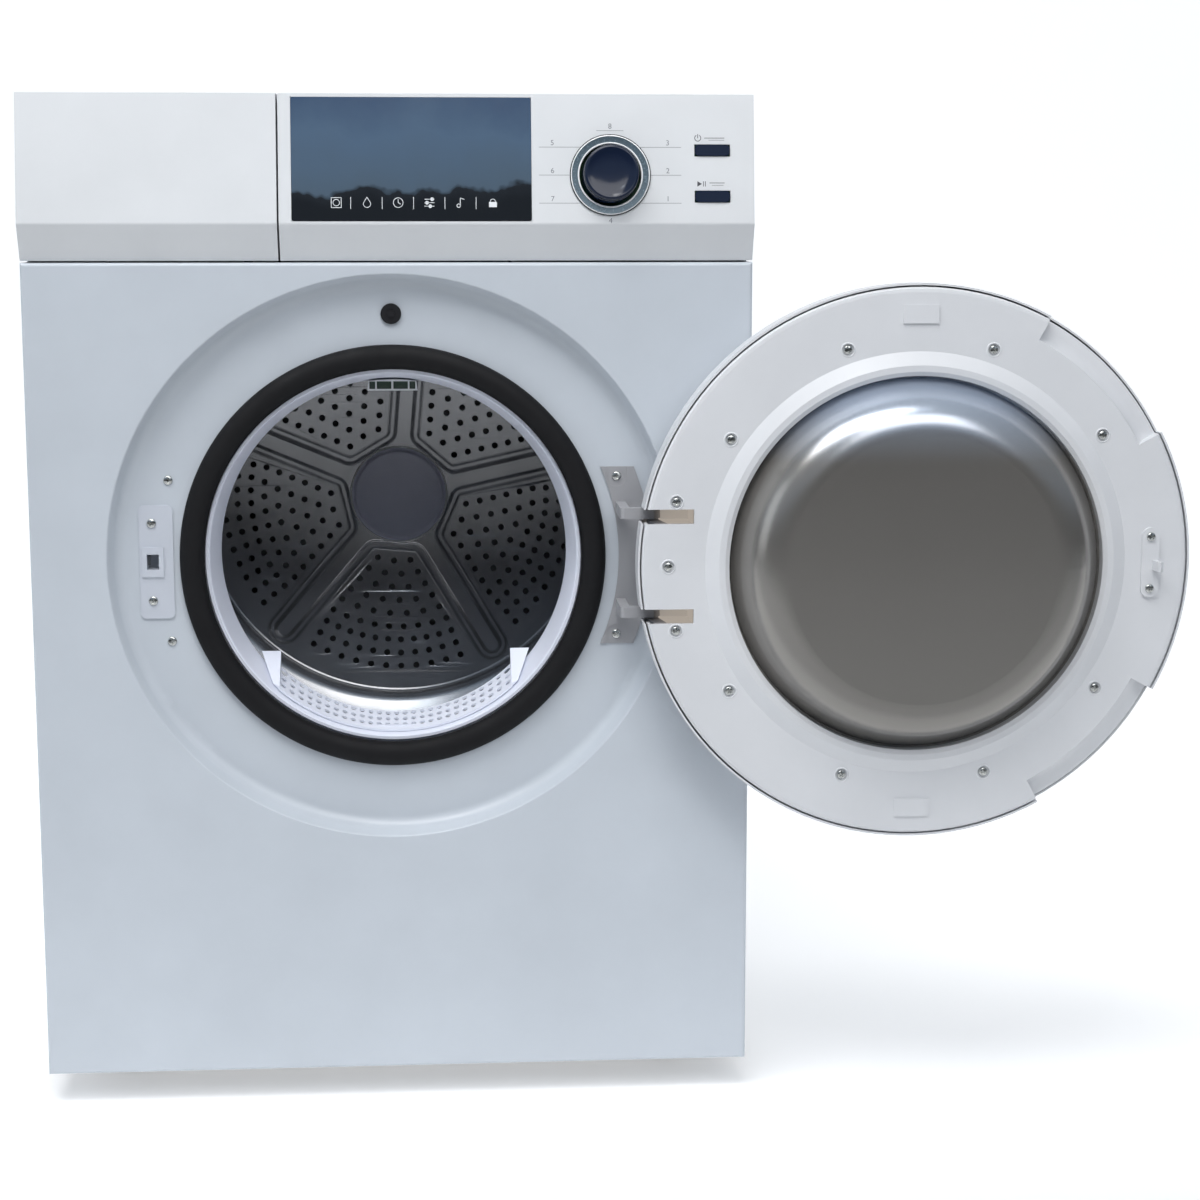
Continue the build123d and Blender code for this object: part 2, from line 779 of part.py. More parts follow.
with BuildPart() as wall_star:
    with BuildSketch(lengthways(0, opening_z)):
        with BuildLine():
            wall_arc(-star_rise)
            Line((wall_edge, wall_front - star_rise), (wall_edge, wall_front + wall_bed))
            wall_arc(wall_bed)
            Line((0, wall_y + wall_bed), (0, wall_y - star_rise))
        make_face()
    revolve(axis=opening_axis)
    with BuildSketch(facing(wall_y + 2)):
        Circle(star_middle)
        with PolarLocations(0, 5, 13):
            with Locations((arm_radius, 0)):
                SlotOverall(arm_length, arm_width)
    extrude(amount=wall_dish + star_rise + 5, mode=Mode.INTERSECT)

with BuildPart() as drum_back_wall:
    with BuildSketch(lengthways(0, opening_z)):
        with BuildLine():
            wall_arc(0)
            Polyline(
                (wall_edge, wall_front),
                (wall_edge + 8, wall_front - 4),
                (rim_radius, rim_front),
                (rim_radius, rim_front + wall_sheet),
                (wall_edge + 8.5, wall_front - 4 + wall_sheet),
                (wall_edge, wall_front + wall_sheet),
            )
            wall_arc(wall_sheet)
            Line((0, wall_y + wall_sheet), (0, wall_y))
        make_face()
    revolve(axis=opening_axis)
    add(wall_star.part)
finish(drum_back_wall, "drum_back_wall")

# Hub cap: the dished cover at the star's centre
hub_radius = 48
hub_rim = 44.5
hub_lip = 2.5
hub_dish = 5.5
hub_depth = 8
hub_flange = 2.5
cap_back = wall_y - star_rise - 0.7
cap_front = cap_back - hub_depth
with BuildPart() as hub_cap:
    with BuildSketch(lengthways(0, opening_z)):
        with BuildLine():
            ThreePointArc(
                (0, cap_front + hub_dish),
                (hub_rim / 2, cap_front + hub_dish * 0.75),
                (hub_rim - hub_lip, cap_front),
            )
            Polyline(
                (hub_rim - hub_lip, cap_front),
                (hub_rim, cap_front + 0.4),
                (hub_rim + 1, cap_back - hub_flange - 1),
                (hub_radius, cap_back - hub_flange),
                (hub_radius, cap_back),
                (0, cap_back),
                (0, cap_front + hub_dish),
            )
        make_face()
    revolve(axis=opening_axis)
finish(hub_cap, "hub_cap")

# Lifters: three hollow paddles inside the drum
with BuildPart() as drum_lifters:
    with BuildSketch(facing(110)):
        with PolarLocations(0, 3, 90):
            with Locations((drum_radius - 24, 0)):
                Trapezoid(56, 40, 68, rotation=90)
        Circle(drum_radius - drum_sheet - 0.4, mode=Mode.INTERSECT)
    extrude(amount=-330)
finish(drum_lifters, "drum_lifters")

# Drum shaft: a stub and flange riveted to the back wall
with BuildPart() as drum_shaft:
    with BuildSketch(facing(wall_y + 1.5)):
        Circle(60)
    extrude(amount=-5)
    with BuildSketch(facing(wall_y + 6.5)):
        Circle(shaft_radius)
    extrude(amount=-68)
finish(drum_shaft, "drum_shaft")

# Rear bearing: a flanged bush fixed in the rear panel's hole
with BuildPart() as rear_bearing:
    with BuildSketch(facing(rear_y - sheet - 12)):
        Circle(42)
    extrude(amount=-12)
    with BuildSketch(facing(rear_y - sheet)):
        Circle(29.5)
    extrude(amount=-9)
    with BuildSketch(facing(rear_y - sheet - 14)):
        Circle(shaft_radius + running_clearance)
    extrude(amount=-30, mode=Mode.SUBTRACT)
finish(rear_bearing, "rear_bearing")

# Heater cover: the round hot-air housing on the back, with the heating coil inside
cover_radius = 225
with BuildPart() as heater_cover:
    with BuildSketch(facing(rear_y, 0, opening_z - 30)):
        Circle(cover_radius)
    extrude(amount=-38, taper=12)
    fillet(heater_cover.edges().group_by(Axis.Y)[-1], radius=6)
    with BuildSketch(facing(rear_y - 1, 0, opening_z - 30)):
        Circle(cover_radius - 2)
    extrude(amount=-37.5, taper=12, mode=Mode.SUBTRACT)
finish(heater_cover, "heater_cover")

with BuildPart() as heater_element:
    for coil_radius in (125, 150, 175):
        with BuildSketch(lengthways(0, opening_z, cabinet_depth + 12)):
            with Locations((coil_radius, 0)):
                Circle(3.2)
        revolve(axis=opening_axis)
    with BuildSketch(facing(rear_y, 0, opening_z)):
        with Locations((150, 0), (-150, 0)):
            Rectangle(62, 10)
    extrude(amount=-13)
finish(heater_element, "heater_element")

# Front rollers: two wheels on fixed pins that carry the drum's front edge
roller_reach = drum_radius + 0.3 + roller_radius
roller_spots = [
    (side * roller_reach * sin(radians(90 - roller_angle)), -roller_reach * cos(radians(90 - roller_angle)))
    for side in (-1, 1)
]
with BuildPart() as roller_shafts:
    with BuildSketch(facing(bulkhead_y + 2)):
        with Locations(*roller_spots):
            Circle(5)
    extrude(amount=-74)
finish(roller_shafts, "roller_shafts")

for spot, name in zip(roller_spots, ("roller_left", "roller_right")):
    with BuildPart() as roller:
        with BuildSketch(facing(96)):
            with Locations(spot):
                Circle(roller_radius)
                Circle(5 + running_clearance, mode=Mode.SUBTRACT)
        extrude(amount=-16)
    finish(roller, name)

# --- Drive and air -------------------------------------------------------------------

motor_front = 205
motor_length = 140
motor_shaft_radius = 6
with BuildPart() as motor_body:
    with BuildSketch(facing(motor_front, motor_x, motor_z)):
        Circle(55)
    extrude(amount=-motor_length)
    fillet(motor_body.edges().filter_by(GeomType.CIRCLE), radius=6)
    with BuildSketch(facing(motor_front + 20, motor_x, 42)):
        Rectangle(120, 26)
    extrude(amount=-(motor_length - 40))
    with BuildSketch(facing(motor_front + 20, motor_x, 62)):
        Rectangle(60, 40)
    extrude(amount=-(motor_length - 40))
    with BuildSketch(facing(motor_front - 1, motor_x, motor_z)):
        Circle(motor_shaft_radius + running_clearance)
    extrude(amount=-(motor_length + 2), mode=Mode.SUBTRACT)
finish(motor_body, "motor_body")

with BuildPart() as motor_shaft:
    with BuildSketch(facing(110, motor_x, motor_z)):
        Circle(motor_shaft_radius)
    extrude(amount=-340)
finish(motor_shaft, "motor_shaft")

with BuildPart() as motor_pulley:
    with BuildSketch(facing(belt_y - 7, motor_x, motor_z)):
        Circle(pulley_radius)
        Circle(motor_shaft_radius, mode=Mode.SUBTRACT)
    extrude(amount=-14)
    for flange_y in (belt_y - 9, belt_y + 7):
        with BuildSketch(facing(flange_y, motor_x, motor_z)):
            Circle(pulley_radius + 4)
            Circle(motor_shaft_radius, mode=Mode.SUBTRACT)
        extrude(amount=-2)
finish(motor_pulley, "motor_pulley")

# Blower: a centrifugal wheel on the motor's front end, in a scroll housing
blower_front = 92
wheel_radius = 62
with BuildPart() as blower_housing:
    with BuildSketch(facing(blower_front, motor_x, motor_z)):
        Circle(78)
        with Locations((-75, -42)):
            Rectangle(150, 60)
    extrude(amount=-80)
    with BuildSketch(facing(blower_front + 2, motor_x, motor_z)):
        Circle(75)
        with Locations((-77, -42)):
            Rectangle(150, 54)
    extrude(amount=-76, mode=Mode.SUBTRACT)
    with BuildSketch(facing(blower_front - 1, motor_x, motor_z)):
        Circle(duct_outlet_radius)
    extrude(amount=-4, mode=Mode.SUBTRACT)
    with BuildSketch(facing(blower_front + 77, motor_x, motor_z)):
        Circle(motor_shaft_radius + 4)
    extrude(amount=-4, mode=Mode.SUBTRACT)
finish(blower_housing, "blower_housing")

with BuildPart() as blower_wheel:
    with BuildSketch(facing(160, motor_x, motor_z)):
        Circle(wheel_radius)
        Circle(motor_shaft_radius, mode=Mode.SUBTRACT)
    extrude(amount=-3)
    with BuildSketch(facing(110, motor_x, motor_z)):
        with PolarLocations(wheel_radius - 9, 24):
            Rectangle(14, 1.6, rotation=35)
    extrude(amount=-50)
    with BuildSketch(facing(106, motor_x, motor_z)):
        Circle(wheel_radius)
        Circle(wheel_radius - 14, mode=Mode.SUBTRACT)
    extrude(amount=-4)
    with BuildSketch(facing(130, motor_x, motor_z)):
        Circle(12)
        Circle(motor_shaft_radius, mode=Mode.SUBTRACT)
    extrude(amount=-30)
finish(blower_wheel, "blower_wheel")

# Drive belt: it wraps the drum and the motor's pulley
belt_width = 8
belt_thick = 1.6
belt_gap = 0.3
belt_plane = facing(belt_y - belt_width / 2)
with BuildPart() as drive_belt:
    with BuildSketch(belt_plane):
        Circle(drum_radius + belt_gap + belt_thick)
        with Locations((motor_x, motor_z - opening_z)):
            Circle(pulley_radius + belt_gap + belt_thick)
        make_hull()
    extrude(amount=-belt_width)
    with BuildSketch(belt_plane):
        Circle(drum_radius + belt_gap)
        with Locations((motor_x, motor_z - opening_z)):
            Circle(pulley_radius + belt_gap)
        make_hull()
    extrude(amount=-belt_width, mode=Mode.SUBTRACT)
finish(drive_belt, "drive_belt")

# Condenser: the air-to-air heat exchanger beside the blower
with BuildPart() as condenser:
    with BuildSketch(facing(90, -215, 118)):
        Rectangle(118, 126)
    extrude(amount=-330)
    with BuildSketch(facing(90, -215, 118)):
        with GridLocations(1, 17, 1, 7):
            Rectangle(104, 9)
    extrude(amount=-330, mode=Mode.SUBTRACT)
finish(condenser, "condenser")

# Condensate pump and the hose that feeds the tank's tray
hose_radius = 5
hose_depth = 515
with BuildPart() as condensate_pump:
    with BuildSketch(Plane.XY.offset(foot_height + 2)):
        with Locations((pump_x, front + hose_depth)):
            Rectangle(60, 40)
    extrude(amount=34)
    with BuildSketch(Plane.XY.offset(foot_height + 36)):
        with Locations((pump_x, front + hose_depth)):
            Circle(16)
    extrude(amount=24)
finish(condensate_pump, "condensate_pump")

hose_start_z = foot_height + 60
with BuildPart() as condensate_hose:
    with BuildLine():
        FilletPolyline(
            (pump_x, front + hose_depth, hose_start_z),
            (pump_x, front + hose_depth, tray_inlet_z),
            (pump_x, front + tank_start + tank_length + 20.2, tray_inlet_z),
            radius=12,
        )
    with BuildSketch(Plane.XY.offset(hose_start_z)):
        with Locations((pump_x, front + hose_depth)):
            Circle(hose_radius)
    sweep()
finish(condensate_hose, "condensate_hose")

# Mains inlet gland on the back
with BuildPart() as mains_gland:
    with BuildSketch(facing(rear_y, gland_x, gland_z)):
        Circle(16)
    extrude(amount=-9)
    with BuildSketch(facing(rear_y - 6, gland_x, gland_z)):
        Circle(10.8)
    extrude(amount=-6)
    with BuildSketch(facing(rear_y - 7, gland_x, gland_z)):
        Circle(5)
    extrude(amount=-20, mode=Mode.SUBTRACT)
finish(mains_gland, "mains_gland")

# --- Door ----------------------------------------------------------------------------

outer_screw_radius = 185
outer_screw_angles = (34.6, 71, 108.6, 146, -34.6, -71, -108.6, -146)
hinge_screws = ((-204, 0), (-197.5, 53), (-197.5, -53))
screw_spots = [
    (outer_screw_radius * cos(radians(a)), outer_screw_radius * sin(radians(a)))
    for a in outer_screw_angles
] + list(hinge_screws)
strike_x = 194.8
strike_screw_z = 21.5
strike_plate = 0.9
grip_radius = 207
grip_middle = 45
grip_half_angle = 17
screw_pocket = 5


def grip_sectors(inner, outer, half_angle=grip_half_angle):
    """Two ring sectors where fingers reach behind the door's edge."""
    with BuildSketch() as sectors:
        for middle in (grip_middle, -grip_middle):
            low = radians(middle - half_angle)
            high = radians(middle + half_angle)
            with BuildLine():
                CenterArc((0, 0), inner, middle - half_angle, 2 * half_angle)
                CenterArc((0, 0), outer, middle - half_angle, 2 * half_angle)
                Line((inner * cos(low), inner * sin(low)), (outer * cos(low), outer * sin(low)))
                Line((inner * cos(high), inner * sin(high)), (outer * cos(high), outer * sin(high)))
            make_face()
    return sectors.sketch


grip_depth = 12
grip_end_angle = grip_half_angle + 0.7
ring_grip_cut = grip_sectors(grip_radius, ring_radius + 5)
ring_grip_ends = grip_sectors(grip_radius - 1, ring_radius - ring_wall, grip_end_angle) - ring_grip_cut
ring_grip_floor = grip_sectors(grip_radius - ring_wall, ring_radius, grip_end_angle)
shell_grip_cut = grip_sectors(grip_radius + 3, shell_radius + 5)

# Grip floors: the two scoops that lead the fingers from the ring's face to its edge
with BuildPart() as grip_floors:
    with BuildSketch(door_profile):
        with BuildLine():
            Line((grip_radius - ring_wall, 0.6), (grip_radius, 0))
            ThreePointArc((grip_radius, 0), (grip_radius + 4, 7), (grip_radius + 11, grip_depth - 1.5))
            Line((grip_radius + 11, grip_depth - 1.5), (ring_radius - 0.4, grip_depth))
            Line((ring_radius - 0.4, grip_depth), (ring_radius - 0.4, grip_depth + 2))
            Line((ring_radius - 0.4, grip_depth + 2), (grip_radius + 10, grip_depth + 0.7))
            ThreePointArc(
                (grip_radius + 10, grip_depth + 0.7),
                (grip_radius + 2, 8.4),
                (grip_radius - ring_wall, ring_wall),
            )
            Line((grip_radius - ring_wall, ring_wall), (grip_radius - ring_wall, 0.6))
        make_face()
    revolve(axis=door_axis)
    with BuildSketch(facing(ring_face_y - 1, door_x)):
        add(ring_grip_floor)
    extrude(amount=-grip_depth - 5, mode=Mode.INTERSECT)

# Inner ring: the white annulus with its raised inner rim, screw pockets and hinge slots
with BuildPart() as door_ring:
    with BuildSketch(door_profile):
        with BuildLine():
            Polyline(
                (ring_radius, 2),
                (ring_radius - 1.5, 0.4),
                (ring_radius - 4, 0),
                (174, 0),
                (163, -ring_rise),
                (158, -ring_rise),
                (ring_hole_radius, 2 - ring_rise),
                (ring_hole_radius, 6),
                (ring_hole_radius + ring_wall, 6),
                (ring_hole_radius + ring_wall, ring_wall - ring_rise),
                (162, ring_wall - ring_rise),
                (173, ring_wall),
                (ring_radius - ring_wall, ring_wall),
                (ring_radius - ring_wall, 14),
                (ring_radius, 14),
                close=True,
            )
        make_face()
    revolve(axis=door_axis)
    with BuildSketch(facing(ring_face_y, door_x)):
        with Locations((0, 204), (0, -204)):
            Rectangle(29, 15)
        with Locations((strike_x, 0)):
            SlotOverall(58, 14.6, rotation=90)
    extrude(amount=1.5)
    with BuildSketch(facing(ring_face_y - 1, door_x)):
        with Locations(*screw_spots):
            Circle(screw_pocket)
    extrude(amount=-2.6, mode=Mode.SUBTRACT)
    with BuildSketch(facing(ring_face_y - 3, door_x)):
        with Locations(*screw_spots):
            Circle(screw_shank)
        with Locations((strike_x, strike_screw_z), (strike_x, -strike_screw_z)):
            Circle(screw_shank)
    extrude(amount=-8, mode=Mode.SUBTRACT)
    with BuildSketch(facing(ring_face_y - 8, door_x)):
        with Locations((-211, arm_z), (-211, -arm_z)):
            Rectangle(56, slot_height)
        add(ring_grip_cut)
    extrude(amount=-30, mode=Mode.SUBTRACT)
    # A scooped floor and two end walls close each grip
    with BuildSketch(facing(ring_face_y + 0.4, door_x)):
        add(ring_grip_ends)
    extrude(amount=-13.6)
    add(grip_floors.part)
finish(door_ring, "door_ring")

# Outer shell: the white dished face of the door, with bosses for the ring's screws
shell_wall = 2.5
shell_edge = 1.5
window_aperture = 168
with BuildPart() as door_shell:
    with BuildSketch(door_profile):
        with BuildLine():
            Polyline((shell_radius, shell_edge), (shell_radius, 26), (shell_radius - 3, 38))
            ThreePointArc((shell_radius - 3, 38), (shell_radius - 6.5, 45), (shell_radius - 14, 48))
            Polyline(
                (shell_radius - 14, 48),
                (window_aperture + 6, door_thickness),
                (window_aperture, door_thickness - 1.5),
                (window_aperture, door_thickness - shell_wall - 2),
                (window_aperture + 4, door_thickness - shell_wall - 2),
                (window_aperture + 6, door_thickness - shell_wall),
                (shell_radius - 14, 48 - shell_wall),
            )
            ThreePointArc(
                (shell_radius - 14, 48 - shell_wall),
                (shell_radius - 8.2, 43.2),
                (shell_radius - 3 - shell_wall * 0.95, 37.4),
            )
            Polyline(
                (shell_radius - 3 - shell_wall * 0.95, 37.4),
                (shell_radius - shell_wall + 0.9, 26),
                (shell_radius - shell_wall + 0.9, shell_edge),
                (shell_radius, shell_edge),
            )
        make_face()
    revolve(axis=door_axis)
    boss_root = 47
    with BuildSketch(facing(ring_face_y + boss_root, door_x)):
        with Locations(*screw_spots[:8]):
            Circle(5)
    extrude(amount=boss_root - ring_wall - 0.1)
    with BuildSketch(facing(ring_face_y + boss_root, door_x)):
        with Locations(*hinge_screws):
            Circle(4.6)
    extrude(amount=boss_root - 5)
    with BuildSketch(facing(ring_face_y, door_x)):
        with Locations(*screw_spots):
            Circle(screw_shank)
    extrude(amount=-16, mode=Mode.SUBTRACT)
    # Notches for the hinge arms, and the two scooped grips
    with BuildSketch(facing(ring_face_y, door_x)):
        with Locations((-221, arm_z), (-221, -arm_z)):
            Rectangle(30, slot_height)
    extrude(amount=-40, mode=Mode.SUBTRACT)
    with BuildSketch(facing(ring_face_y, door_x)):
        add(shell_grip_cut)
    extrude(amount=-16, mode=Mode.SUBTRACT)
finish(door_shell, "door_shell")

# Outer window: the smoked panel that fills the shell's aperture
with BuildPart() as door_window:
    with BuildSketch(lengthways(door_x, opening_z, ring_face_y + door_thickness - shell_wall - 2.1)):
        with BuildLine():
            Polyline((0, 0), (window_aperture + 3.5, 0), (window_aperture + 3.5, -3), (0, -3), close=True)
        make_face()
    revolve(axis=door_axis)
finish(door_window, "door_window")

# Glass bowl: it reaches through the ring's hole and keeps the load off the window
bowl_wall = 4.5
bowl_depth = 37
bowl_face = 110
bowl_back = bowl_wall - bowl_depth
with BuildPart() as door_bowl:
    with BuildSketch(door_profile):
        with BuildLine():
            Polyline((0, -bowl_depth), (bowl_face, -bowl_depth))
            ThreePointArc((bowl_face, -bowl_depth), (127.3, -32.5), (139.5, -20))
            Polyline(
                (139.5, -20),
                (151, 2),
                (153, 6.2),
                (164, 6.2),
                (164, 6.2 + bowl_wall),
                (149.5, 6.2 + bowl_wall),
                (146.5, 4),
                (135.5, -17.5),
            )
            ThreePointArc((135.5, -17.5), (125.3, -28.3), (bowl_face, bowl_back))
            Polyline((bowl_face, bowl_back), (0, bowl_back), (0, -bowl_depth))
        make_face()
    revolve(axis=door_axis)
finish(door_bowl, "door_bowl")

# Door screws: eleven in the ring's pockets and two through the strike's plate
with BuildPart() as door_screws:
    with BuildSketch(facing(ring_face_y + 1.6, door_x)):
        with Locations(*screw_spots):
            Circle(3.8)
    extrude(amount=1.9)
    with BuildSketch(facing(ring_face_y + 1.6, door_x)):
        with Locations(*screw_spots):
            Circle(screw_shank)
    extrude(amount=-10)
    with BuildSketch(facing(ring_face_y - 1.5 - strike_plate, door_x)):
        with Locations((strike_x, strike_screw_z), (strike_x, -strike_screw_z)):
            Circle(3.6)
    extrude(amount=1)
    with BuildSketch(facing(ring_face_y - 1.5 - strike_plate, door_x)):
        with Locations((strike_x, strike_screw_z), (strike_x, -strike_screw_z)):
            Circle(screw_shank)
    extrude(amount=-10)
finish(door_screws, "door_screws")

# Door strike: a plate with the tongue that enters the latch
tongue_x = 199.5
with BuildPart() as door_strike:
    with BuildSketch(facing(ring_face_y - 1.5, door_x)):
        with Locations((strike_x, 0)):
            SlotOverall(58, 14.6, rotation=90)
        with Locations((strike_x, strike_screw_z), (strike_x, -strike_screw_z)):
            Circle(screw_shank, mode=Mode.SUBTRACT)
    extrude(amount=strike_plate)
    with BuildSketch(Plane.XY.offset(opening_z + latch_drop - 4)):
        with BuildLine():
            Polyline(
                (door_x + tongue_x - 3, front + ring_face_y - 2),
                (door_x + tongue_x - 2.2, front + ring_face_y - 15),
                (door_x + tongue_x - 0.5, front + ring_face_y - 18),
                (door_x + tongue_x + 2.6, front + ring_face_y - 14.5),
                (door_x + tongue_x + 2.6, front + ring_face_y - 12.5),
                (door_x + tongue_x + 0.6, front + ring_face_y - 11),
                (door_x + tongue_x + 1.5, front + ring_face_y - 2),
                close=True,
            )
        make_face()
    extrude(amount=8)
finish(door_strike, "door_strike")

# Hinge carrier: the steel plate inside the door, with ears that hold the two pins
ear_thickness = 3.4
ear_gap = slot_height + 0.6
ear_radius = 5
carrier_y = ring_face_y + ring_wall + 0.1
with BuildPart() as hinge_carrier:
    with BuildSketch(facing(carrier_y, door_x)):
        with Locations((-199, 0)):
            Rectangle(32, 112)
        with Locations((-211, arm_z), (-211, -arm_z)):
            Rectangle(60, slot_height, mode=Mode.SUBTRACT)
        with Locations(*hinge_screws):
            Circle(screw_shank + 0.2, mode=Mode.SUBTRACT)
    extrude(amount=-2)
    for arm_level in (-arm_z, arm_z):
        for ear_side in (-1, 1):
            ear_middle = opening_z + arm_level + ear_side * (ear_gap + ear_thickness) / 2
            with BuildSketch(Plane.XY.offset(ear_middle - ear_thickness / 2)):
                with Locations((hinge_x, front + hinge_y)):
                    Circle(ear_radius)
                with BuildLine():
                    Polyline(
                        (hinge_x - ear_radius, front + hinge_y),
                        (hinge_x + ear_radius, front + hinge_y),
                        (hinge_x + 10, front + carrier_y),
                        (hinge_x, front + carrier_y),
                        close=True,
                    )
                make_face()
            extrude(amount=ear_thickness)
        with BuildSketch(Plane.XY.offset(opening_z + arm_level - ear_gap / 2 - ear_thickness)):
            with Locations((hinge_x, front + hinge_y)):
                Circle(pin_radius)
        extrude(amount=ear_gap + 2 * ear_thickness)
finish(hinge_carrier, "hinge_carrier")

# --- Feet ----------------------------------------------------------------------------

foot_pad_radius = 20
foot_names = ("foot_front_left", "foot_front_right", "foot_rear_left", "foot_rear_right")
foot_spots = [(side * foot_x, front + d) for d in foot_depths for side in (-1, 1)]
for spot, name in zip(foot_spots, foot_names):
    with BuildPart() as levelling_foot:
        with BuildSketch(Plane.XY):
            with Locations(spot):
                Circle(foot_pad_radius)
        extrude(amount=12, taper=8)
        with BuildSketch(Plane.XY.offset(12)):
            with Locations(spot):
                RegularPolygon(9, 6)
        extrude(amount=8)
        with BuildSketch(Plane.XY.offset(20)):
            with Locations(spot):
                Circle(stud_radius)
        extrude(amount=30)
    finish(levelling_foot, name)
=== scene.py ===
"""A front-loading tumble dryer with its round door open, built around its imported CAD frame.

Lengths are in metres, in the frame of the CAD model: +Z up, the front faces -Y, and the origin
is on the floor under the cabinet's centre.
"""

from math import acos, asin, atan2, cos, degrees, pi, radians, sin, sqrt, tan

import bmesh
import bpy
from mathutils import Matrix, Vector


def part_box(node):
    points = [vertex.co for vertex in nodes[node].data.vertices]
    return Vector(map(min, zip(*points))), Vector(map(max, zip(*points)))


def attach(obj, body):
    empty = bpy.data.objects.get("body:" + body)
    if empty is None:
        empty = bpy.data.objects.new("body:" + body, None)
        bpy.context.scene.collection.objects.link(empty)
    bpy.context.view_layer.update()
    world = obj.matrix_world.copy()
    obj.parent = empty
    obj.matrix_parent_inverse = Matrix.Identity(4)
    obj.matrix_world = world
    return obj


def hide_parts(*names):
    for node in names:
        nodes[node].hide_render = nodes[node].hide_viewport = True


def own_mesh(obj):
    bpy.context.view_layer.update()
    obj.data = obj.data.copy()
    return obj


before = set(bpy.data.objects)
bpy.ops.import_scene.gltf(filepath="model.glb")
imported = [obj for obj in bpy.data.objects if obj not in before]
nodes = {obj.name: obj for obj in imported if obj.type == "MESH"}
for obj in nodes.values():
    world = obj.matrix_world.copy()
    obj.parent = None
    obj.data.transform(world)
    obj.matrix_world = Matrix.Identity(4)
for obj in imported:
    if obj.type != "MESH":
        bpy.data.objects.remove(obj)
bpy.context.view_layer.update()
MM = 0.001


def middle(node):
    """The centre of a CAD node's box."""
    low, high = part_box(node)
    return (low + high) / 2


front_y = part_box("front_panel")[0].y
opening = middle("opening_collar")
door = middle("door_ring")

# --- Materials -----------------------------------------------------------------------


class Nodes:
    """A material's node tree, with short ways to add and join its nodes."""

    def __init__(self, name):
        self.material = bpy.data.materials.new(name)
        self.material.use_nodes = True
        self.tree = self.material.node_tree
        self.shader = self.tree.nodes["Principled BSDF"]
        self.place = self.add("ShaderNodeTexCoord").outputs["Object"]

    def add(self, kind, **inputs):
        node = self.tree.nodes.new(kind)
        for key, value in inputs.items():
            node.inputs[key.replace("_", " ")].default_value = value
        return node

    def join(self, source, target):
        self.tree.links.new(source, target)

    def set(self, **values):
        for key, value in values.items():
            self.shader.inputs[key.replace("_", " ")].default_value = value

    def noise(self, size, detail=3.0, roughness=0.55, stretch=(1, 1, 1)):
        """Noise whose features are about size metres across."""
        scaled = self.add("ShaderNodeMapping")
        scaled.inputs["Scale"].default_value = [s / size for s in stretch]
        self.join(self.place, scaled.inputs["Vector"])
        noise = self.add("ShaderNodeTexNoise", Scale=1.0, Detail=detail, Roughness=roughness)
        self.join(scaled.outputs["Vector"], noise.inputs["Vector"])
        return noise.outputs["Fac"]

    def range(self, value, low, high, from_low=0.3, from_high=0.7):
        ranged = self.add("ShaderNodeMapRange")
        spans = {"From Min": from_low, "From Max": from_high, "To Min": low, "To Max": high}
        for key, number in spans.items():
            ranged.inputs[key].default_value = number
        self.join(value, ranged.inputs["Value"])
        return ranged.outputs["Result"]

    def tint(self, value, first, second):
        """Base colour between two tones by a value from 0 to 1."""
        ramp = self.add("ShaderNodeValToRGB")
        ramp.color_ramp.elements[0].color = (*first, 1)
        ramp.color_ramp.elements[0].position = 0.3
        ramp.color_ramp.elements[1].color = (*second, 1)
        ramp.color_ramp.elements[1].position = 0.7
        self.join(value, ramp.inputs["Fac"])
        self.join(ramp.outputs["Color"], self.shader.inputs["Base Color"])

    def along(self, axis):
        """The place along the frame's X, Y or Z, in metres."""
        split = self.add("ShaderNodeSeparateXYZ")
        self.join(self.place, split.inputs["Vector"])
        return split.outputs[axis]

    def total(self, first, second):
        added = self.add("ShaderNodeMath")
        self.join(first, added.inputs[0])
        self.join(second, added.inputs[1])
        return added.outputs[0]

    def graded(self, value, stops):
        """Base colour from (position, colour) stops along a value."""
        ramp = self.add("ShaderNodeValToRGB")
        set_stops(ramp, stops)
        self.join(value, ramp.inputs["Fac"])
        self.join(ramp.outputs["Color"], self.shader.inputs["Base Color"])

    def bump(self, height, depth, strength=1.0):
        bump = self.add("ShaderNodeBump", Strength=strength, Distance=depth)
        self.join(height, bump.inputs["Height"])
        self.join(bump.outputs["Normal"], self.shader.inputs["Normal"])


def set_stops(ramp, stops):
    """Give a colour ramp its (position, colour) stops, lowest first."""
    elements = ramp.color_ramp.elements
    lowest, *between, highest = stops
    elements[0].position, elements[0].color = lowest[0], (*lowest[1], 1)
    elements[1].position, elements[1].color = highest[0], (*highest[1], 1)
    for position, colour in between:
        elements.new(position).color = (*colour, 1)


def shade(colour, factor):
    return tuple(min(1.0, c * factor) for c in colour)


def moulded(
    name, colour, rough=(0.3, 0.42), grain=0.0012, depth=0.00003, spread=0.04, coat=0.0, shine=0.5, glow=0.0
):
    """Painted or moulded surfaces: slight blotches of tone, uneven gloss and a fine texture; a glow, where
    given, is painted light.
    """
    made = Nodes(name)
    made.tint(made.noise(0.09, 4), shade(colour, 1 - spread), shade(colour, 1 + spread / 2))
    made.join(made.range(made.noise(0.03, 3), *rough), made.shader.inputs["Roughness"])
    made.bump(made.noise(grain, 2), depth)
    made.set(Coat_Weight=coat, Coat_Roughness=0.12, Specular_IOR_Level=shine)
    made.set(Emission_Color=(*colour, 1), Emission_Strength=glow)
    return made.material


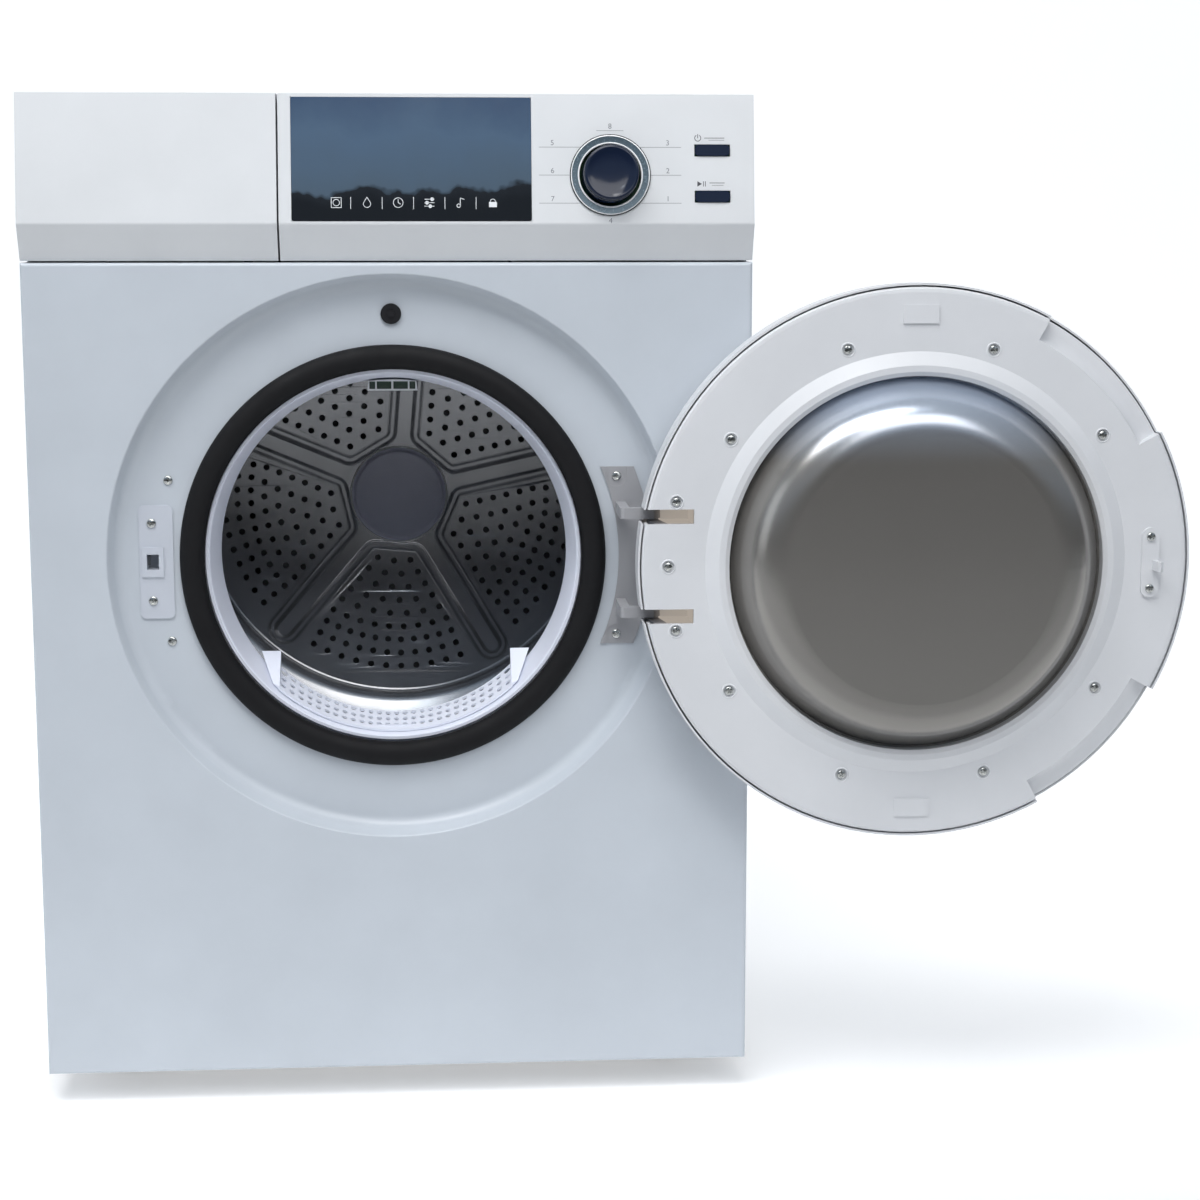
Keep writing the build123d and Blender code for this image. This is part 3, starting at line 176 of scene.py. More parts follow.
def metal(name, colour, rough=(0.22, 0.38), stretch=(1, 1, 1), size=0.004, depth=0.00002, metallic=1.0):
    """Bare or plated metal, with a grain that may be drawn out along one direction."""
    made = Nodes(name)
    made.set(Metallic=metallic)
    made.tint(made.noise(0.05, 4), shade(colour, 0.9), shade(colour, 1.06))
    made.join(made.range(made.noise(size, 5, stretch=stretch), *rough), made.shader.inputs["Roughness"])
    made.bump(made.noise(size / 3, 3, stretch=stretch), depth)
    return made.material


def thin_glass(name, low, middle_tone, sky, alpha, rough):
    """Smoked sheet with a strong surface reflection, and painted light in its base colour: painted shade
    darker at its foot, a painted cool sky reflection at its top.
    """
    made = Nodes(name)
    rise = made.range(made.along("Z"), 0.0, 1.0, 0.31, 0.62)
    mottled = made.range(made.noise(0.15, 2), -0.003, 0.003)
    # Painted light: the stops paint shade at the foot and the sky's reflection at the top into the base
    # colour.
    stops = ((0.05, low), (0.45, middle_tone), (0.78, middle_tone), (0.93, sky))
    made.graded(made.total(rise, mottled), stops)
    made.join(made.range(made.noise(0.1, 2), *rough), made.shader.inputs["Roughness"])
    made.bump(made.noise(0.12, 1), 0.000001)
    made.set(IOR=1.8, Alpha=alpha, Metallic=0.7, Coat_Weight=0.2, Coat_Roughness=0.12)
    return made.material


def display_material():
    """Black glass with a painted reflection of a cloudy sky in its base colour: blue above, darker towards
    the display's foot.
    """
    made = Nodes("display_glass")
    sky = made.range(made.along("Z"), 0.0, 1.0, 0.744, 0.842)
    cloud = made.range(made.noise(0.07, 4, 0.6), -0.12, 0.12)
    # Painted reflection: dark at the foot and sky blue above, drawn into the base colour by height.
    stops = (
        (0.12, (0.001, 0.001, 0.0015)),
        (0.22, (0.006, 0.007, 0.009)),
        (0.26, (0.066, 0.1, 0.14)),
        (0.7, (0.07, 0.115, 0.18)),
        (1.0, (0.045, 0.078, 0.14)),
    )
    made.graded(made.total(sky, cloud), stops)
    made.join(made.range(made.noise(0.02, 2), 0.05, 0.09), made.shader.inputs["Roughness"])
    made.bump(made.noise(0.05, 2), 0.00002)
    made.set(Coat_Weight=0.3)
    return made.material


enamel = moulded("white_enamel", (0.55, 0.59, 0.637), rough=(0.3, 0.4), grain=0.0016, depth=0.00002)
panel_plastic = moulded("panel_plastic", (0.7, 0.715, 0.73), rough=(0.36, 0.46), grain=0.0009)
latch_plastic = moulded("latch_plastic", (0.56, 0.59, 0.65), rough=(0.36, 0.46), grain=0.0009)
ring_plastic = moulded("door_white", (0.7, 0.71, 0.73), rough=(0.34, 0.44), grain=0.0009)
cover_plastic = moulded("white_cover", (0.8, 0.83, 0.93), rough=(0.35, 0.45), grain=0.0009)
black_gloss = moulded("black_gloss", (0.012, 0.013, 0.016), rough=(0.06, 0.12), grain=0.004, depth=0.00001)
rubber = moulded("seal_rubber", (0.0065, 0.0065, 0.0075), rough=(0.6, 0.75), shine=0.22)
black_plastic = moulded("black_plastic", (0.012, 0.012, 0.014), rough=(0.4, 0.5), grain=0.0008, shine=0.3)
grey_plastic = moulded("grey_plastic", (0.25, 0.26, 0.27), rough=(0.42, 0.55))
tank_plastic = moulded("tank_plastic", (0.62, 0.66, 0.70), rough=(0.35, 0.5))
hub_plastic = moulded("hub_grey", (0.74, 0.75, 0.88), rough=(0.34, 0.44))
board_green = moulded("board_green", (0.03, 0.14, 0.06), rough=(0.35, 0.5))
bracket_paint = moulded("zinc_steel", (0.34, 0.34, 0.355), rough=(0.4, 0.52), grain=0.0008)
galvanised = metal("galvanised", (0.5, 0.51, 0.52), rough=(0.35, 0.55), size=0.012)
stainless = metal(
    "stainless", (0.5, 0.505, 0.52), rough=(0.2, 0.25), size=0.03, depth=0.000003, metallic=0.88
)
screw_steel = metal("screw_steel", (0.6, 0.61, 0.59), rough=(0.16, 0.26), size=0.002, depth=0.000004)
shaft_steel = metal("shaft_steel", (0.45, 0.45, 0.45), rough=(0.25, 0.4), size=0.001)
aluminium = metal("aluminium_block", (0.6, 0.61, 0.62), rough=(0.3, 0.45))
bezel_metal = metal("bezel_chrome", (0.95, 0.96, 0.97), rough=(0.2, 0.28), size=0.001, metallic=0.15)
# The bowl's tones: painted shade at the foot, the glass's own tone, and a painted sky reflection at the top.
glass_painted_shade_and_sky_tones = (0.25, 0.238, 0.22), (0.31, 0.295, 0.274), (0.56, 0.63, 0.74)
clear_glass = thin_glass("clear_glass", *glass_painted_shade_and_sky_tones, 0.9, (0.255, 0.27))
smoked = moulded(
    "smoked_glass", (0.06, 0.055, 0.05), rough=(0.16, 0.24), grain=0.02, depth=0.00001, coat=0.6
)
lamp_lens = moulded("lamp_lens", (0.03, 0.05, 0.035), rough=(0.3, 0.4), grain=0.003, coat=0.1)
screen_mesh = moulded("screen_mesh", (0.3, 0.31, 0.33), rough=(0.5, 0.7), grain=0.0007, depth=0.0001)
ink_grey = moulded("ink_grey", (0.2, 0.21, 0.23), rough=(0.5, 0.6))
ink_dark = moulded("ink_dark", (0.07, 0.07, 0.08), rough=(0.5, 0.6))
ink_white = moulded("ink_white", (0.8, 0.82, 0.84), rough=(0.45, 0.55))
band_blue = metal("band_blue", (0.10, 0.14, 0.17), rough=(0.2, 0.3), size=0.002, metallic=0.4)
knob_gloss = moulded(
    "knob_gloss", (0.008, 0.014, 0.034), rough=(0.08, 0.13), grain=0.004, depth=0.00001, shine=0.4
)
# Painted light: the slot liners glow faintly so the shallow slots look lit.
slot_beige_painted_glow = moulded("slot_beige_painted_glow", (0.56, 0.525, 0.485), rough=(0.5, 0.6), glow=0.3)
display_glass = display_material()

finishes = {
    enamel: ("side_panel_left", "side_panel_right", "top_cover", "front_panel"),
    panel_plastic: ("control_panel", "tank_front", "lamp_housing"),
    latch_plastic: ("latch_housing",),
    ring_plastic: ("door_ring", "door_shell", "door_strike"),
    cover_plastic: ("opening_collar", "lint_filter"),
    knob_gloss: ("programme_knob", "power_button", "start_button"),
    display_glass: ("display_window",),
    rubber: ("door_seal", "drive_belt", "condensate_hose", "roller_left", "roller_right"),
    black_plastic: (
        "door_switch_body",
        "door_switch_plunger",
        "mains_gland",
        "foot_front_left",
        "foot_front_right",
        "foot_rear_left",
        "foot_rear_right",
    ),
    grey_plastic: (
        "lint_duct", "blower_housing", "blower_wheel", "condensate_pump", "tank_tray", "latch_catch"
    ),
    tank_plastic: ("water_tank",),
    hub_plastic: ("hub_cap",),
    board_green: ("control_board",),
    bracket_paint: ("hinge_bracket", "hinge_carrier"),
    galvanised: ("base_pan", "rear_panel", "front_bulkhead", "heater_cover", "motor_body", "roller_shafts"),
    stainless: ("drum_shell", "drum_back_wall", "drum_lifters"),
    screw_steel: ("cabinet_screws", "door_screws"),
    shaft_steel: ("drum_shaft", "motor_shaft", "motor_pulley", "rear_bearing", "heater_element"),
    aluminium: ("condenser",),
    bezel_metal: ("dial_bezel",),
    clear_glass: ("door_bowl",),
    smoked: ("door_window",),
}
for material, names in finishes.items():
    for name in names:
        mesh = nodes[name].data
        mesh.materials.clear()
        mesh.materials.append(material)

# --- Building meshes -----------------------------------------------------------------


def piece(name, body, material, points, faces, smooth=True, sharp=40):
    """A mesh object in the row frame that rides on a CAD body."""
    mesh = bpy.data.meshes.new(name)
    mesh.from_pydata([tuple(p) for p in points], [], faces)
    mesh.validate()
    cleaned = bmesh.new()
    cleaned.from_mesh(mesh)
    bmesh.ops.remove_doubles(cleaned, verts=cleaned.verts, dist=1e-7)
    bmesh.ops.recalc_face_normals(cleaned, faces=cleaned.faces)
    cleaned.to_mesh(mesh)
    cleaned.free()
    mesh.materials.append(material)
    made = bpy.data.objects.new(name, mesh)
    bpy.context.scene.collection.objects.link(made)
    if smooth:
        mesh.shade_smooth()
        mesh.set_sharp_from_angle(angle=radians(sharp))
    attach(made, body)
    return made


def merged(parts):
    """Several (points, faces) as one."""
    points, faces = [], []
    for part_points, part_faces in parts:
        first = len(points)
        points.extend(part_points)
        faces.extend(tuple(i + first for i in face) for face in part_faces)
    return points, faces


def grid_faces(rows, columns, closed_rows=False, closed_columns=False):
    """Quads over a grid of rows by columns points, joined round where it closes."""
    faces = []
    for r in range(rows if closed_rows else rows - 1):
        for c in range(columns if closed_columns else columns - 1):
            r_next, c_next = (r + 1) % rows, (c + 1) % columns
            faces.append(
                (r * columns + c, r * columns + c_next, r_next * columns + c_next, r_next * columns + c)
            )
    return faces


def turned(profile, centre, steps=160, closed=True):
    """A profile of (radius, depth) in millimetres, turned about a front-to-back line."""
    points = []
    for i in range(steps):
        turn = 2 * pi * i / steps
        for radius, depth in profile:
            x, z = radius * MM * cos(turn), radius * MM * sin(turn)
            points.append((centre.x + x, front_y + depth * MM, centre.z + z))
    return points, grid_faces(steps, len(profile), closed_rows=True, closed_columns=closed)


def thickened(points, faces, shift):
    """Closes a sheet: a second skin moved by shift, joined along the sheet's edges."""
    count = len(points)
    skin = [Vector(p) for p in points] + [Vector(p) + shift(Vector(p)) for p in points]
    edges = {}
    for face in faces:
        for a, b in zip(face, face[1:] + face[:1]):
            key = (min(a, b), max(a, b))
            edges[key] = None if key in edges else (a, b)
    closed = list(faces)
    closed += [tuple(i + count for i in reversed(face)) for face in faces]
    closed += [(e[1], e[0], e[0] + count, e[1] + count) for e in edges.values() if e]
    return skin, closed


def filled(outlines):
    """The flat sheet inside the first outline and outside the others: its points and faces.

    Each outline is a list of (x, y) in millimetres.
    """
    curve = bpy.data.curves.new("outline", "CURVE")
    curve.dimensions = "2D"
    curve.fill_mode = "FRONT"
    for outline in outlines:
        spline = curve.splines.new("POLY")
        spline.points.add(len(outline) - 1)
        for point, (x, y) in zip(spline.points, outline):
            point.co = (x, y, 0, 1)
        spline.use_cyclic_u = True
    holder = bpy.data.objects.new("outline", curve)
    mesh = bpy.data.meshes.new_from_object(holder)
    points = [tuple(v.co) for v in mesh.vertices]
    faces = [tuple(face.vertices) for face in mesh.polygons]
    bpy.data.objects.remove(holder)
    bpy.data.curves.remove(curve)
    bpy.data.meshes.remove(mesh)
    return points, faces


def circle(x, y, radius, steps=16, start=0.0):
    return [
        (x + radius * cos(start + 2 * pi * i / steps), y + radius * sin(start + 2 * pi * i / steps))
        for i in range(steps)
    ]


def facing_user(points, centre, depth):
    """Sheet points (x, height) in millimetres, stood up facing the user at a depth."""
    return [(centre.x + x * MM, front_y + depth * MM, centre.z + z * MM) for x, z, *_ in points]


# --- The drum's back wall ------------------------------------------------------------

arm_count = 5
arm_start = 13
arm_half = 12.2
arm_tip = 182
chord_distance = 54.3
corner_radius = 9
sheet_depth = 489.3
hole_rows = (3, 4, 5, 6, 7, 9, 11, 11, 11)
first_hole_row = 69.5
hole_pitch = 13.57
hole_radius = 2.9
floor_radius = 199.5


def arc_points(x, y, radius, start, sweep, steps, inward=False):
    """(x, y, normal x, normal y) round an arc; the normal points away from the star."""
    points = []
    for i in range(steps + 1):
        turn = radians(start + sweep * i / steps)
        sign = -1 if inward else 1
        points.append((x + radius * cos(turn), y + radius * sin(turn), sign * cos(turn), sign * sin(turn)))
    return points


def star_outline():
    """The middle line of the groove round the five-armed star, with its outward normals."""
    half = 180 / arm_count
    corner_x = (chord_distance - arm_half * sin(radians(half))) / cos(radians(half))
    # The fillet's centre lies in the sector, corner_radius from the arm's side and the chord
    turn = 90 - half
    reach = corner_radius * tan(radians(turn / 2))
    outline = []
    for k in range(arm_count):
        arm = []
        centre = (corner_x + reach, -arm_half - corner_radius)
        arm += arc_points(*centre, corner_radius, 90 + turn, -turn, 8, inward=True)
        arm += arc_points(arm_tip, 0, arm_half, -90, 180, 20)
        centre = (corner_x + reach, arm_half + corner_radius)
        arm += arc_points(*centre, corner_radius, -90, -turn, 8, inward=True)
        angle = radians(arm_start + 360 / arm_count * k)
        c, s = cos(angle), sin(angle)
        outline += [(x * c - y * s, x * s + y * c, u * c - v * s, u * s + v * c) for x, y, u, v in arm]
    return outline


def sector_holes():
    """The centres of the holes in the five sectors between the arms."""
    half = 180 / arm_count
    centres = []
    for k in range(arm_count):
        mid = arm_start + half + 2 * half * k
        for row, count in enumerate(hole_rows):
            radius = first_hole_row + hole_pitch * row
            spread = min(25.2, half - degrees(asin(26 / radius)))
            for i in range(count):
                angle = radians(mid - spread + 2 * spread * i / (count - 1))
                centres.append((radius * cos(angle), radius * sin(angle)))
    return centres


wall_dish = 12.0
wall_edge = 260.6


def dished(points):
    """Sheet points moved forward towards the drum's edge, so that the wall is a shallow dish."""
    moved = []
    for x, y, z in points:
        radius = sqrt((x - opening.x) ** 2 + (z - opening.z) ** 2) / MM
        share = (radius / floor_radius) ** 2
        if radius > floor_radius:
            share = (wall_edge - radius) / (wall_edge - floor_radius)
        moved.append((x, y - wall_dish * share * MM, z))
    return moved


def dish_shading(made):
    """Sets the true normals of the dish on faces that face the user, which are long and thin."""
    mesh = made.data
    normals = [Vector(corner.vector) for corner in mesh.corner_normals]
    for face in mesh.polygons:
        if abs(face.normal.y) < 0.95:
            continue
        side = 1 if face.normal.y > 0 else -1
        for corner in face.loop_indices:
            place = mesh.vertices[mesh.loops[corner].vertex_index].co
            slope = 2 * wall_dish / (floor_radius**2 * MM)
            tilt = Vector(((place.x - opening.x) * slope, 1, (place.z - opening.z) * slope))
            normals[corner] = tilt.normalized() * side
    mesh.normals_split_custom_set(normals)


def drum_back_wall():
    """The perforated sheet, and over it the pressed star, its groove and the outer cone."""
    outline = star_outline()
    edge = 5.0
    # The perforated sheet, with a small chamfer round each hole
    holes = sector_holes()
    rim = circle(0, 0, floor_radius, 160)
    star = [(x + u * edge, y + v * edge) for x, y, u, v in outline]
    lip = 0.5
    rims = [circle(x, y, hole_radius + lip, 14) for x, y in holes]
    points, faces = filled([rim, star] + rims)
    sheet = facing_user(points, opening, sheet_depth), faces
    parts = [sheet]
    for x, y in holes:
        tube = []
        for radius, depth in ((hole_radius + lip, 0), (hole_radius + 0.1, 0.35), (hole_radius, 1.3)):
            tube += facing_user(circle(x, y, radius, 14), opening, sheet_depth + depth)
        parts.append((tube, grid_faces(3, 14, closed_columns=True)))
    points, faces = merged(parts)
    perforated = piece("drum_back_sheet", "drum", stainless, dished(points), faces, sharp=20)
    dish_shading(perforated)
    parts = []
    # The pressed groove and the crowned star inside it: (offset from the groove's middle, depth)
    section = (
        (5.0, 0), (4.5, -0.45), (4.0, -0.4), (3.4, 0.6), (2.6, 2.0), (1.4, 2.8), (0, 3.0), (-1.4, 2.8),
        (-2.6, 1.8), (-3.4, 0.2), (-4.1, -1.6), (-4.8, -2.6), (-5.8, -3.1), (-7.4, -3.3), (-9.4, -3.5),
        (-11.4, -3.6),
    )
    ribbon = []
    for offset, depth in section:
        ring = [(x + u * offset, y + v * offset) for x, y, u, v in outline]
        ribbon += facing_user(ring, opening, sheet_depth + depth)
    count = len(outline)
    ribbon_faces = grid_faces(len(section), count, closed_columns=True)
    ribbon_faces.append(tuple(range(count * (len(section) - 1), count * len(section))))
    parts.append((ribbon, ribbon_faces))
    # The bead at the floor's edge and the cone out to the drum's wall
    cone = (
        (floor_radius, sheet_depth), (201, 488.7), (202.4, 487.4), (204, 486.8), (205.6, 487.6),
        (207.5, 489.4), (211, 489.0), (216, 486), (228, 479.5), (245, 471.5), (256, 467.6), (wall_edge, 466),
    )
    parts.append(turned(cone, opening, 160, closed=False))
    points, faces = merged(parts)
    wall = piece("drum_back_wall_pressed", "drum", stainless, dished(points), faces, sharp=50)
    dish_shading(wall)
    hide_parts("drum_back_wall")


def hub_dish():
    """The plastic cap over the shaft's end: a rounded rim round a shallow dish."""
    profile = (
        (0, 484.5), (10, 484.3), (20, 483.6), (30, 482.3), (37, 480.9), (41, 479.6), (42.6, 478.7),
        (43.6, 478.6), (44.4, 479.2), (44.9, 480.4), (45.4, 483.2), (47.8, 484.2), (48, 487), (0, 487),
    )
    points, faces = turned(profile, opening, 96)
    cap = piece("hub_cap_dish", "drum", hub_plastic, points, faces, sharp=50)
    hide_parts("hub_cap")


def hub_ring():
    ring = ((48.4, 486.2), (48.2, 484.6), (48.9, 483.9), (49.8, 484.6), (50.2, 486.4), (49.4, 487))
    points, faces = turned(ring, opening, 96)
    made = piece("hub_ring", "drum", bezel_metal, points, faces)


# --- Round the opening ---------------------------------------------------------------

cover_start, cover_end = 30.0, 65.0
cover_front_radius, cover_rear_radius = 149.5, 140.5
cover_wall = 2.0
vent_columns = 13
vent_pitch = 7.35
vent_rows = (39.3, 49.5, 59.7)
vent_half_depth = 5.1


def cover_point(x, depth, sink=0.0):
    """A point of the filter cover's upper face, in millimetres from the opening's centre."""
    slope = (cover_front_radius - cover_rear_radius) / (cover_end - cover_start)
    radius = cover_front_radius - slope * (depth - cover_start) + sink
    return Vector((opening.x + x * MM, front_y + depth * MM, opening.z - sqrt(radius**2 - x**2) * MM))


def welded(points, faces):
    """The same flat mesh with points that fall together made one."""
    places, kept, renamed = {}, [], []
    for x, y in points:
        key = (round(x, 3), round(y, 3))
        if key not in places:
            places[key] = len(kept)
            kept.append((x, y))
        renamed.append(places[key])
    return kept, [tuple(renamed[i] for i in face) for face in faces]


def vent_cell(x, depth, half_x, half_depth, open_x, open_depth, steps=24):
    """The cover's skin round one vent: a square outside, an oval hole inside."""
    outer, inner = [], []
    for i in range(steps):
        turn = 2 * pi * i / steps + pi / 4
        c, s = cos(turn), sin(turn)
        reach = 1 / max(abs(c), abs(s))
        outer.append((x + half_x * c * reach, depth + half_depth * s * reach))
        inner.append((x + open_x * c, depth + open_depth * s))
    return outer + inner, grid_faces(2, steps, closed_columns=True)


def filter_cover():
    """The perforated cover over the lint filter, with its two end caps and the cassette."""
    parts = []
    half_x = vent_pitch / 2
    for column in range(-vent_columns, vent_columns + 1):
        for row, depth in enumerate(vent_rows):
            large = abs(column) == vent_columns and row == 2
            sizes = (2.9, 4.3) if large else (2.25, 2.9)
            parts.append(vent_cell(column * vent_pitch, depth, half_x, vent_half_depth, *sizes))
    across = []
    for column in range(-vent_columns, vent_columns + 1):
        across += [column * vent_pitch + half_x * tan(radians(turn)) for turn in range(-45, 45, 15)]
    across.append((vent_columns + 0.5) * vent_pitch)
    strip = [(x, depth) for depth in (cover_start, 32, 34.2) for x in across]
    parts.append((strip, grid_faces(3, len(across))))
    flat, faces = welded(*merged(parts))
    skin = [cover_point(x, depth) for x, depth in flat]
    points, faces = thickened(skin, faces, lambda p: Vector((0, 0, -cover_wall * MM)))
    made = [(points, faces)]
    for side in (-1, 1):
        rear = [(98.2, 86.5), (114.5, 86.5), (98.2, 108.0)]
        front = [(98.2, 111.4), (103.6, 108.8), (98.2, 114.4)]
        cap = [(opening.x + side * x * MM, front_y + 64 * MM, opening.z - z * MM) for x, z in rear]
        cap += [(opening.x + side * x * MM, front_y + 31.5 * MM, opening.z - z * MM) for x, z in front]
        made.append((cap, [(0, 1, 2), (5, 4, 3), (0, 3, 4, 1), (1, 4, 5, 2), (2, 5, 3, 0)]))
    # The cassette's frame in the duct below
    low = opening.z - 234 * MM
    x_out, y_out = 84.5, 9.5
    top = opening.z - 147 * MM
    middle_y = front_y + 45.5 * MM
    wall = 3
    rings = []
    for x_half, y_half in ((x_out, y_out), (x_out - wall, y_out - wall)):
        for z in (low, top):
            corners = ((-1, -1), (1, -1), (1, 1), (-1, 1))
            rings += [(opening.x + a * x_half * MM, middle_y + b * y_half * MM, z) for a, b in corners]
    sides = []
    for i in range(4):
        j = (i + 1) % 4
        sides += [(i, j, 4 + j, 4 + i), (8 + j, 8 + i, 12 + i, 12 + j)]
        sides += [(i, 8 + i, 8 + j, j), (4 + j, 12 + j, 12 + i, 4 + i)]
    made.append((rings, sides))
    points, faces = merged(made)
    cover = piece("lint_filter_cover", "filter", cover_plastic, points, faces, sharp=35)
    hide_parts("lint_filter")


def filter_mesh():
    """The fine screen stretched in the cassette, seen as grey through the vents."""
    points, faces = [], []
    steps = 40
    for depth in (37, 54):
        for i in range(steps + 1):
            x = -82 + 164 * i / steps
            point = cover_point(x, depth, sink=6)
            points.append(point)
    faces = grid_faces(2, steps + 1)
    points, faces = thickened(points, faces, lambda p: Vector((0, 0, -0.4 * MM)))
    mesh = piece("lint_screen", "filter", screen_mesh, points, faces)


seal_back = 25.8


def door_seal():
    """The rubber ring: a bulb with a bead where it grips the panel, and a soft inner lip."""
    profile = [(158.6, 24.5), (157.6, 21), (157, 17)]
    for i in range(17):
        turn = radians(188 + 176 * i / 16)
        profile.append((167.1 + 10.2 * cos(turn), 15.2 + 8.6 * sin(turn)))
    profile += [(177.3, 16.6), (176.6, 17.8), (171.2, 17.8), (171.2, seal_back), (160.2, seal_back)]
    points, faces = turned(profile, opening, 200)
    seal = piece("door_seal_rubber", "cabinet", rubber, points, faces, sharp=60)
    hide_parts("door_seal")
    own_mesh(seal)


def lamp_cells():
    """The four dark green cells behind the lamp's frame."""
    lamp_rise, half_z, clearance = 141.5, 3.15, 0.1
    peak_depth, front_depth, back_depth = 50.6, 51.2, 57.8
    for index, (x, width) in enumerate(((-16.8, 5), (-6.95, 12.3), (6.95, 12.3), (16.8, 5))):
        half_x = width / 2 - clearance
        outline = [(x - half_x, lamp_rise - half_z), (x + half_x, lamp_rise - half_z)]
        outline += [(x + half_x, lamp_rise + half_z), (x - half_x, lamp_rise + half_z)]
        front = facing_user(outline, opening, front_depth)
        peak = facing_user([(x, lamp_rise)], opening, peak_depth)
        back = facing_user(outline, opening, back_depth)
        faces = [(0, 1, 4), (1, 2, 4), (2, 3, 4), (3, 0, 4)]
        faces += [(i, 5 + i, 5 + (i + 1) % 4, (i + 1) % 4) for i in range(4)] + [(8, 7, 6, 5)]
        points = front + peak + back
        cell = piece(f"lamp_cell_{index + 1}", "cabinet", lamp_lens, points, faces, False)


# --- Screws --------------------------------------------------------------------------


def screw_head(radius, rise, turn):
    """A pan head with a cross recess, its seat at depth 0: points (x, z, depth) in mm."""
    half, reach, sink = radius * 0.13, radius * 0.58, rise * 0.75
    cross = []
    for k in range(4):
        angle = turn + k * pi / 2
        c, s = cos(angle), sin(angle)
        for x, z in ((half, half), (half, reach), (-half, reach)):
            cross.append((x * c - z * s, x * s + z * c))
    count = len(cross)
    rings = []
    for scale, depth in ((1.0, 0.0), (1.0, 0.35), (0.93, 0.7), (0.8, 0.92)):
        for x, z in cross:
            length = sqrt(x * x + z * z)
            rings.append((x / length * radius * scale, z / length * radius * scale, -rise * depth))
    rings += [(x, z, -rise) for x, z in cross]
    rings += [(x * 0.75, z * 0.75, sink - rise) for x, z in cross]
    faces = grid_faces(6, count, closed_columns=True)
    faces.append(tuple(range(5 * count, 6 * count)))
    faces.append(tuple(reversed(range(count))))
    return rings, faces


def screws(name, body, node, centre, spots, depths, radius, rise):
    """Cross-head screws at spots (x, z) from the centre, each seated at its depth."""
    parts = []
    for index, ((x, z), depth) in enumerate(zip(spots, depths)):
        rings, faces = screw_head(radius, rise, 0.3 + index * 1.9)
        points = [
            (centre.x + (x + a) * MM, front_y + (depth + d) * MM, centre.z + (z + b) * MM)
            for a, b, d in rings
        ]
        parts.append((points, faces))
    points, faces = merged(parts)
    made = piece(name, body, screw_steel, points, faces, sharp=35)
    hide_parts(node)


outer_screws = [(185 * cos(radians(a)), 185 * sin(radians(a))) for a in (34.6, 71, 108.6, 146)]
outer_screws += [(x, -z) for x, z in outer_screws]
hinge_screws = [(-204, 0), (-197.5, 53), (-197.5, -53)]
strike_screws = [(194.8, 21.5), (194.8, -21.5)]
door_spots = outer_screws + hinge_screws + strike_screws
door_seats = [-54.4] * 11 + [-58.4] * 2
cabinet_spots = [(186.5, 67), (186.5, -67), (-200, 30.5), (-200, -34.5), (-185.5, 66), (-185.5, -69)]
cabinet_seats = [17, 17, 16.5, 16.5, 18, 18]

# --- Markings on the control panel ---------------------------------------------------

face_lean = atan2(14, 104)
face_y = front_y - 9 * MM
crease_z = 741 * MM
dial = (179.5, 39.4)
print_rise = 0.05


def panel_point(x, height, out):
    """A point over the control panel's leaning face; x, height and out in millimetres."""
    return Vector(
        (
            x * MM,
            face_y + (height * sin(face_lean) - out * cos(face_lean)) * MM,
            crease_z + (height * cos(face_lean) + out * sin(face_lean)) * MM,
        )
    )


def bar(x0, y0, x1, y1, width):
    """A straight stroke as one flat four-sided outline."""
    length = sqrt((x1 - x0) ** 2 + (y1 - y0) ** 2)
    u, v = (y1 - y0) / length * width / 2, -(x1 - x0) / length * width / 2
    return [(x0 + u, y0 + v), (x1 + u, y1 + v), (x1 - u, y1 - v), (x0 - u, y0 - v)], [(0, 1, 2, 3)]


def arc_stroke(x, y, radius, width, start=0, sweep=360, steps=36):
    points = []
    for r in (radius - width / 2, radius + width / 2):
        for i in range(steps + 1):
            turn = radians(start + sweep * i / steps)
            points.append((x + r * cos(turn), y + r * sin(turn)))
    return points, grid_faces(2, steps + 1)


def polygon(*points):
    return list(points), [tuple(range(len(points)))]


def digit(text, x, y, size):
    """A numeral as a filled outline, centred on x with its foot at y."""
    curve = bpy.data.curves.new("digit", "FONT")
    curve.body = text
    curve.size = size
    curve.align_x = "CENTER"
    holder = bpy.data.objects.new("digit", curve)
    mesh = bpy.data.meshes.new_from_object(holder)
    points = [(x + v.co.x, y + v.co.y) for v in mesh.vertices]
    faces = [tuple(face.vertices) for face in mesh.polygons]
    bpy.data.objects.remove(holder)
    bpy.data.curves.remove(curve)
    bpy.data.meshes.remove(mesh)
    return points, faces


def printed(name, body, material, strokes, base=0.0):
    """Flat ink over the panel's face, at a base height above it."""
    flat, faces = merged(strokes)
    low = [panel_point(x, y, base) for x, y in flat]
    lift = Vector((0, -cos(face_lean), sin(face_lean))) * print_rise * MM
    points, faces = thickened(low, faces, lambda p: lift)
    made = piece(name, body, material, points, faces, smooth=False)


def dial_markings():
    x, y = dial
    thin = 0.36
    strokes = []
    ends = []
    for side in (-1, 1):
        for height, start in ((62.0, 24), (39.4, 33.2), (16.7, 25)):
            strokes.append(bar(x + side * start, height, x + side * 58, height, thin))
            ends.append((x + side * 47, height + 1.6))
    strokes.append(bar(x - 11, 75.4, x + 11, 75.4, thin))
    ends.append((x, 77))
    ends.append((x, 0.6))
    order = (5, 6, 7, 3, 2, 1, 8, 4)
    for number, (end_x, end_y) in zip(order, ends):
        strokes.append(digit(str(number), end_x, end_y, 6.0))
    printed("dial_markings", "cabinet", ink_grey, strokes)


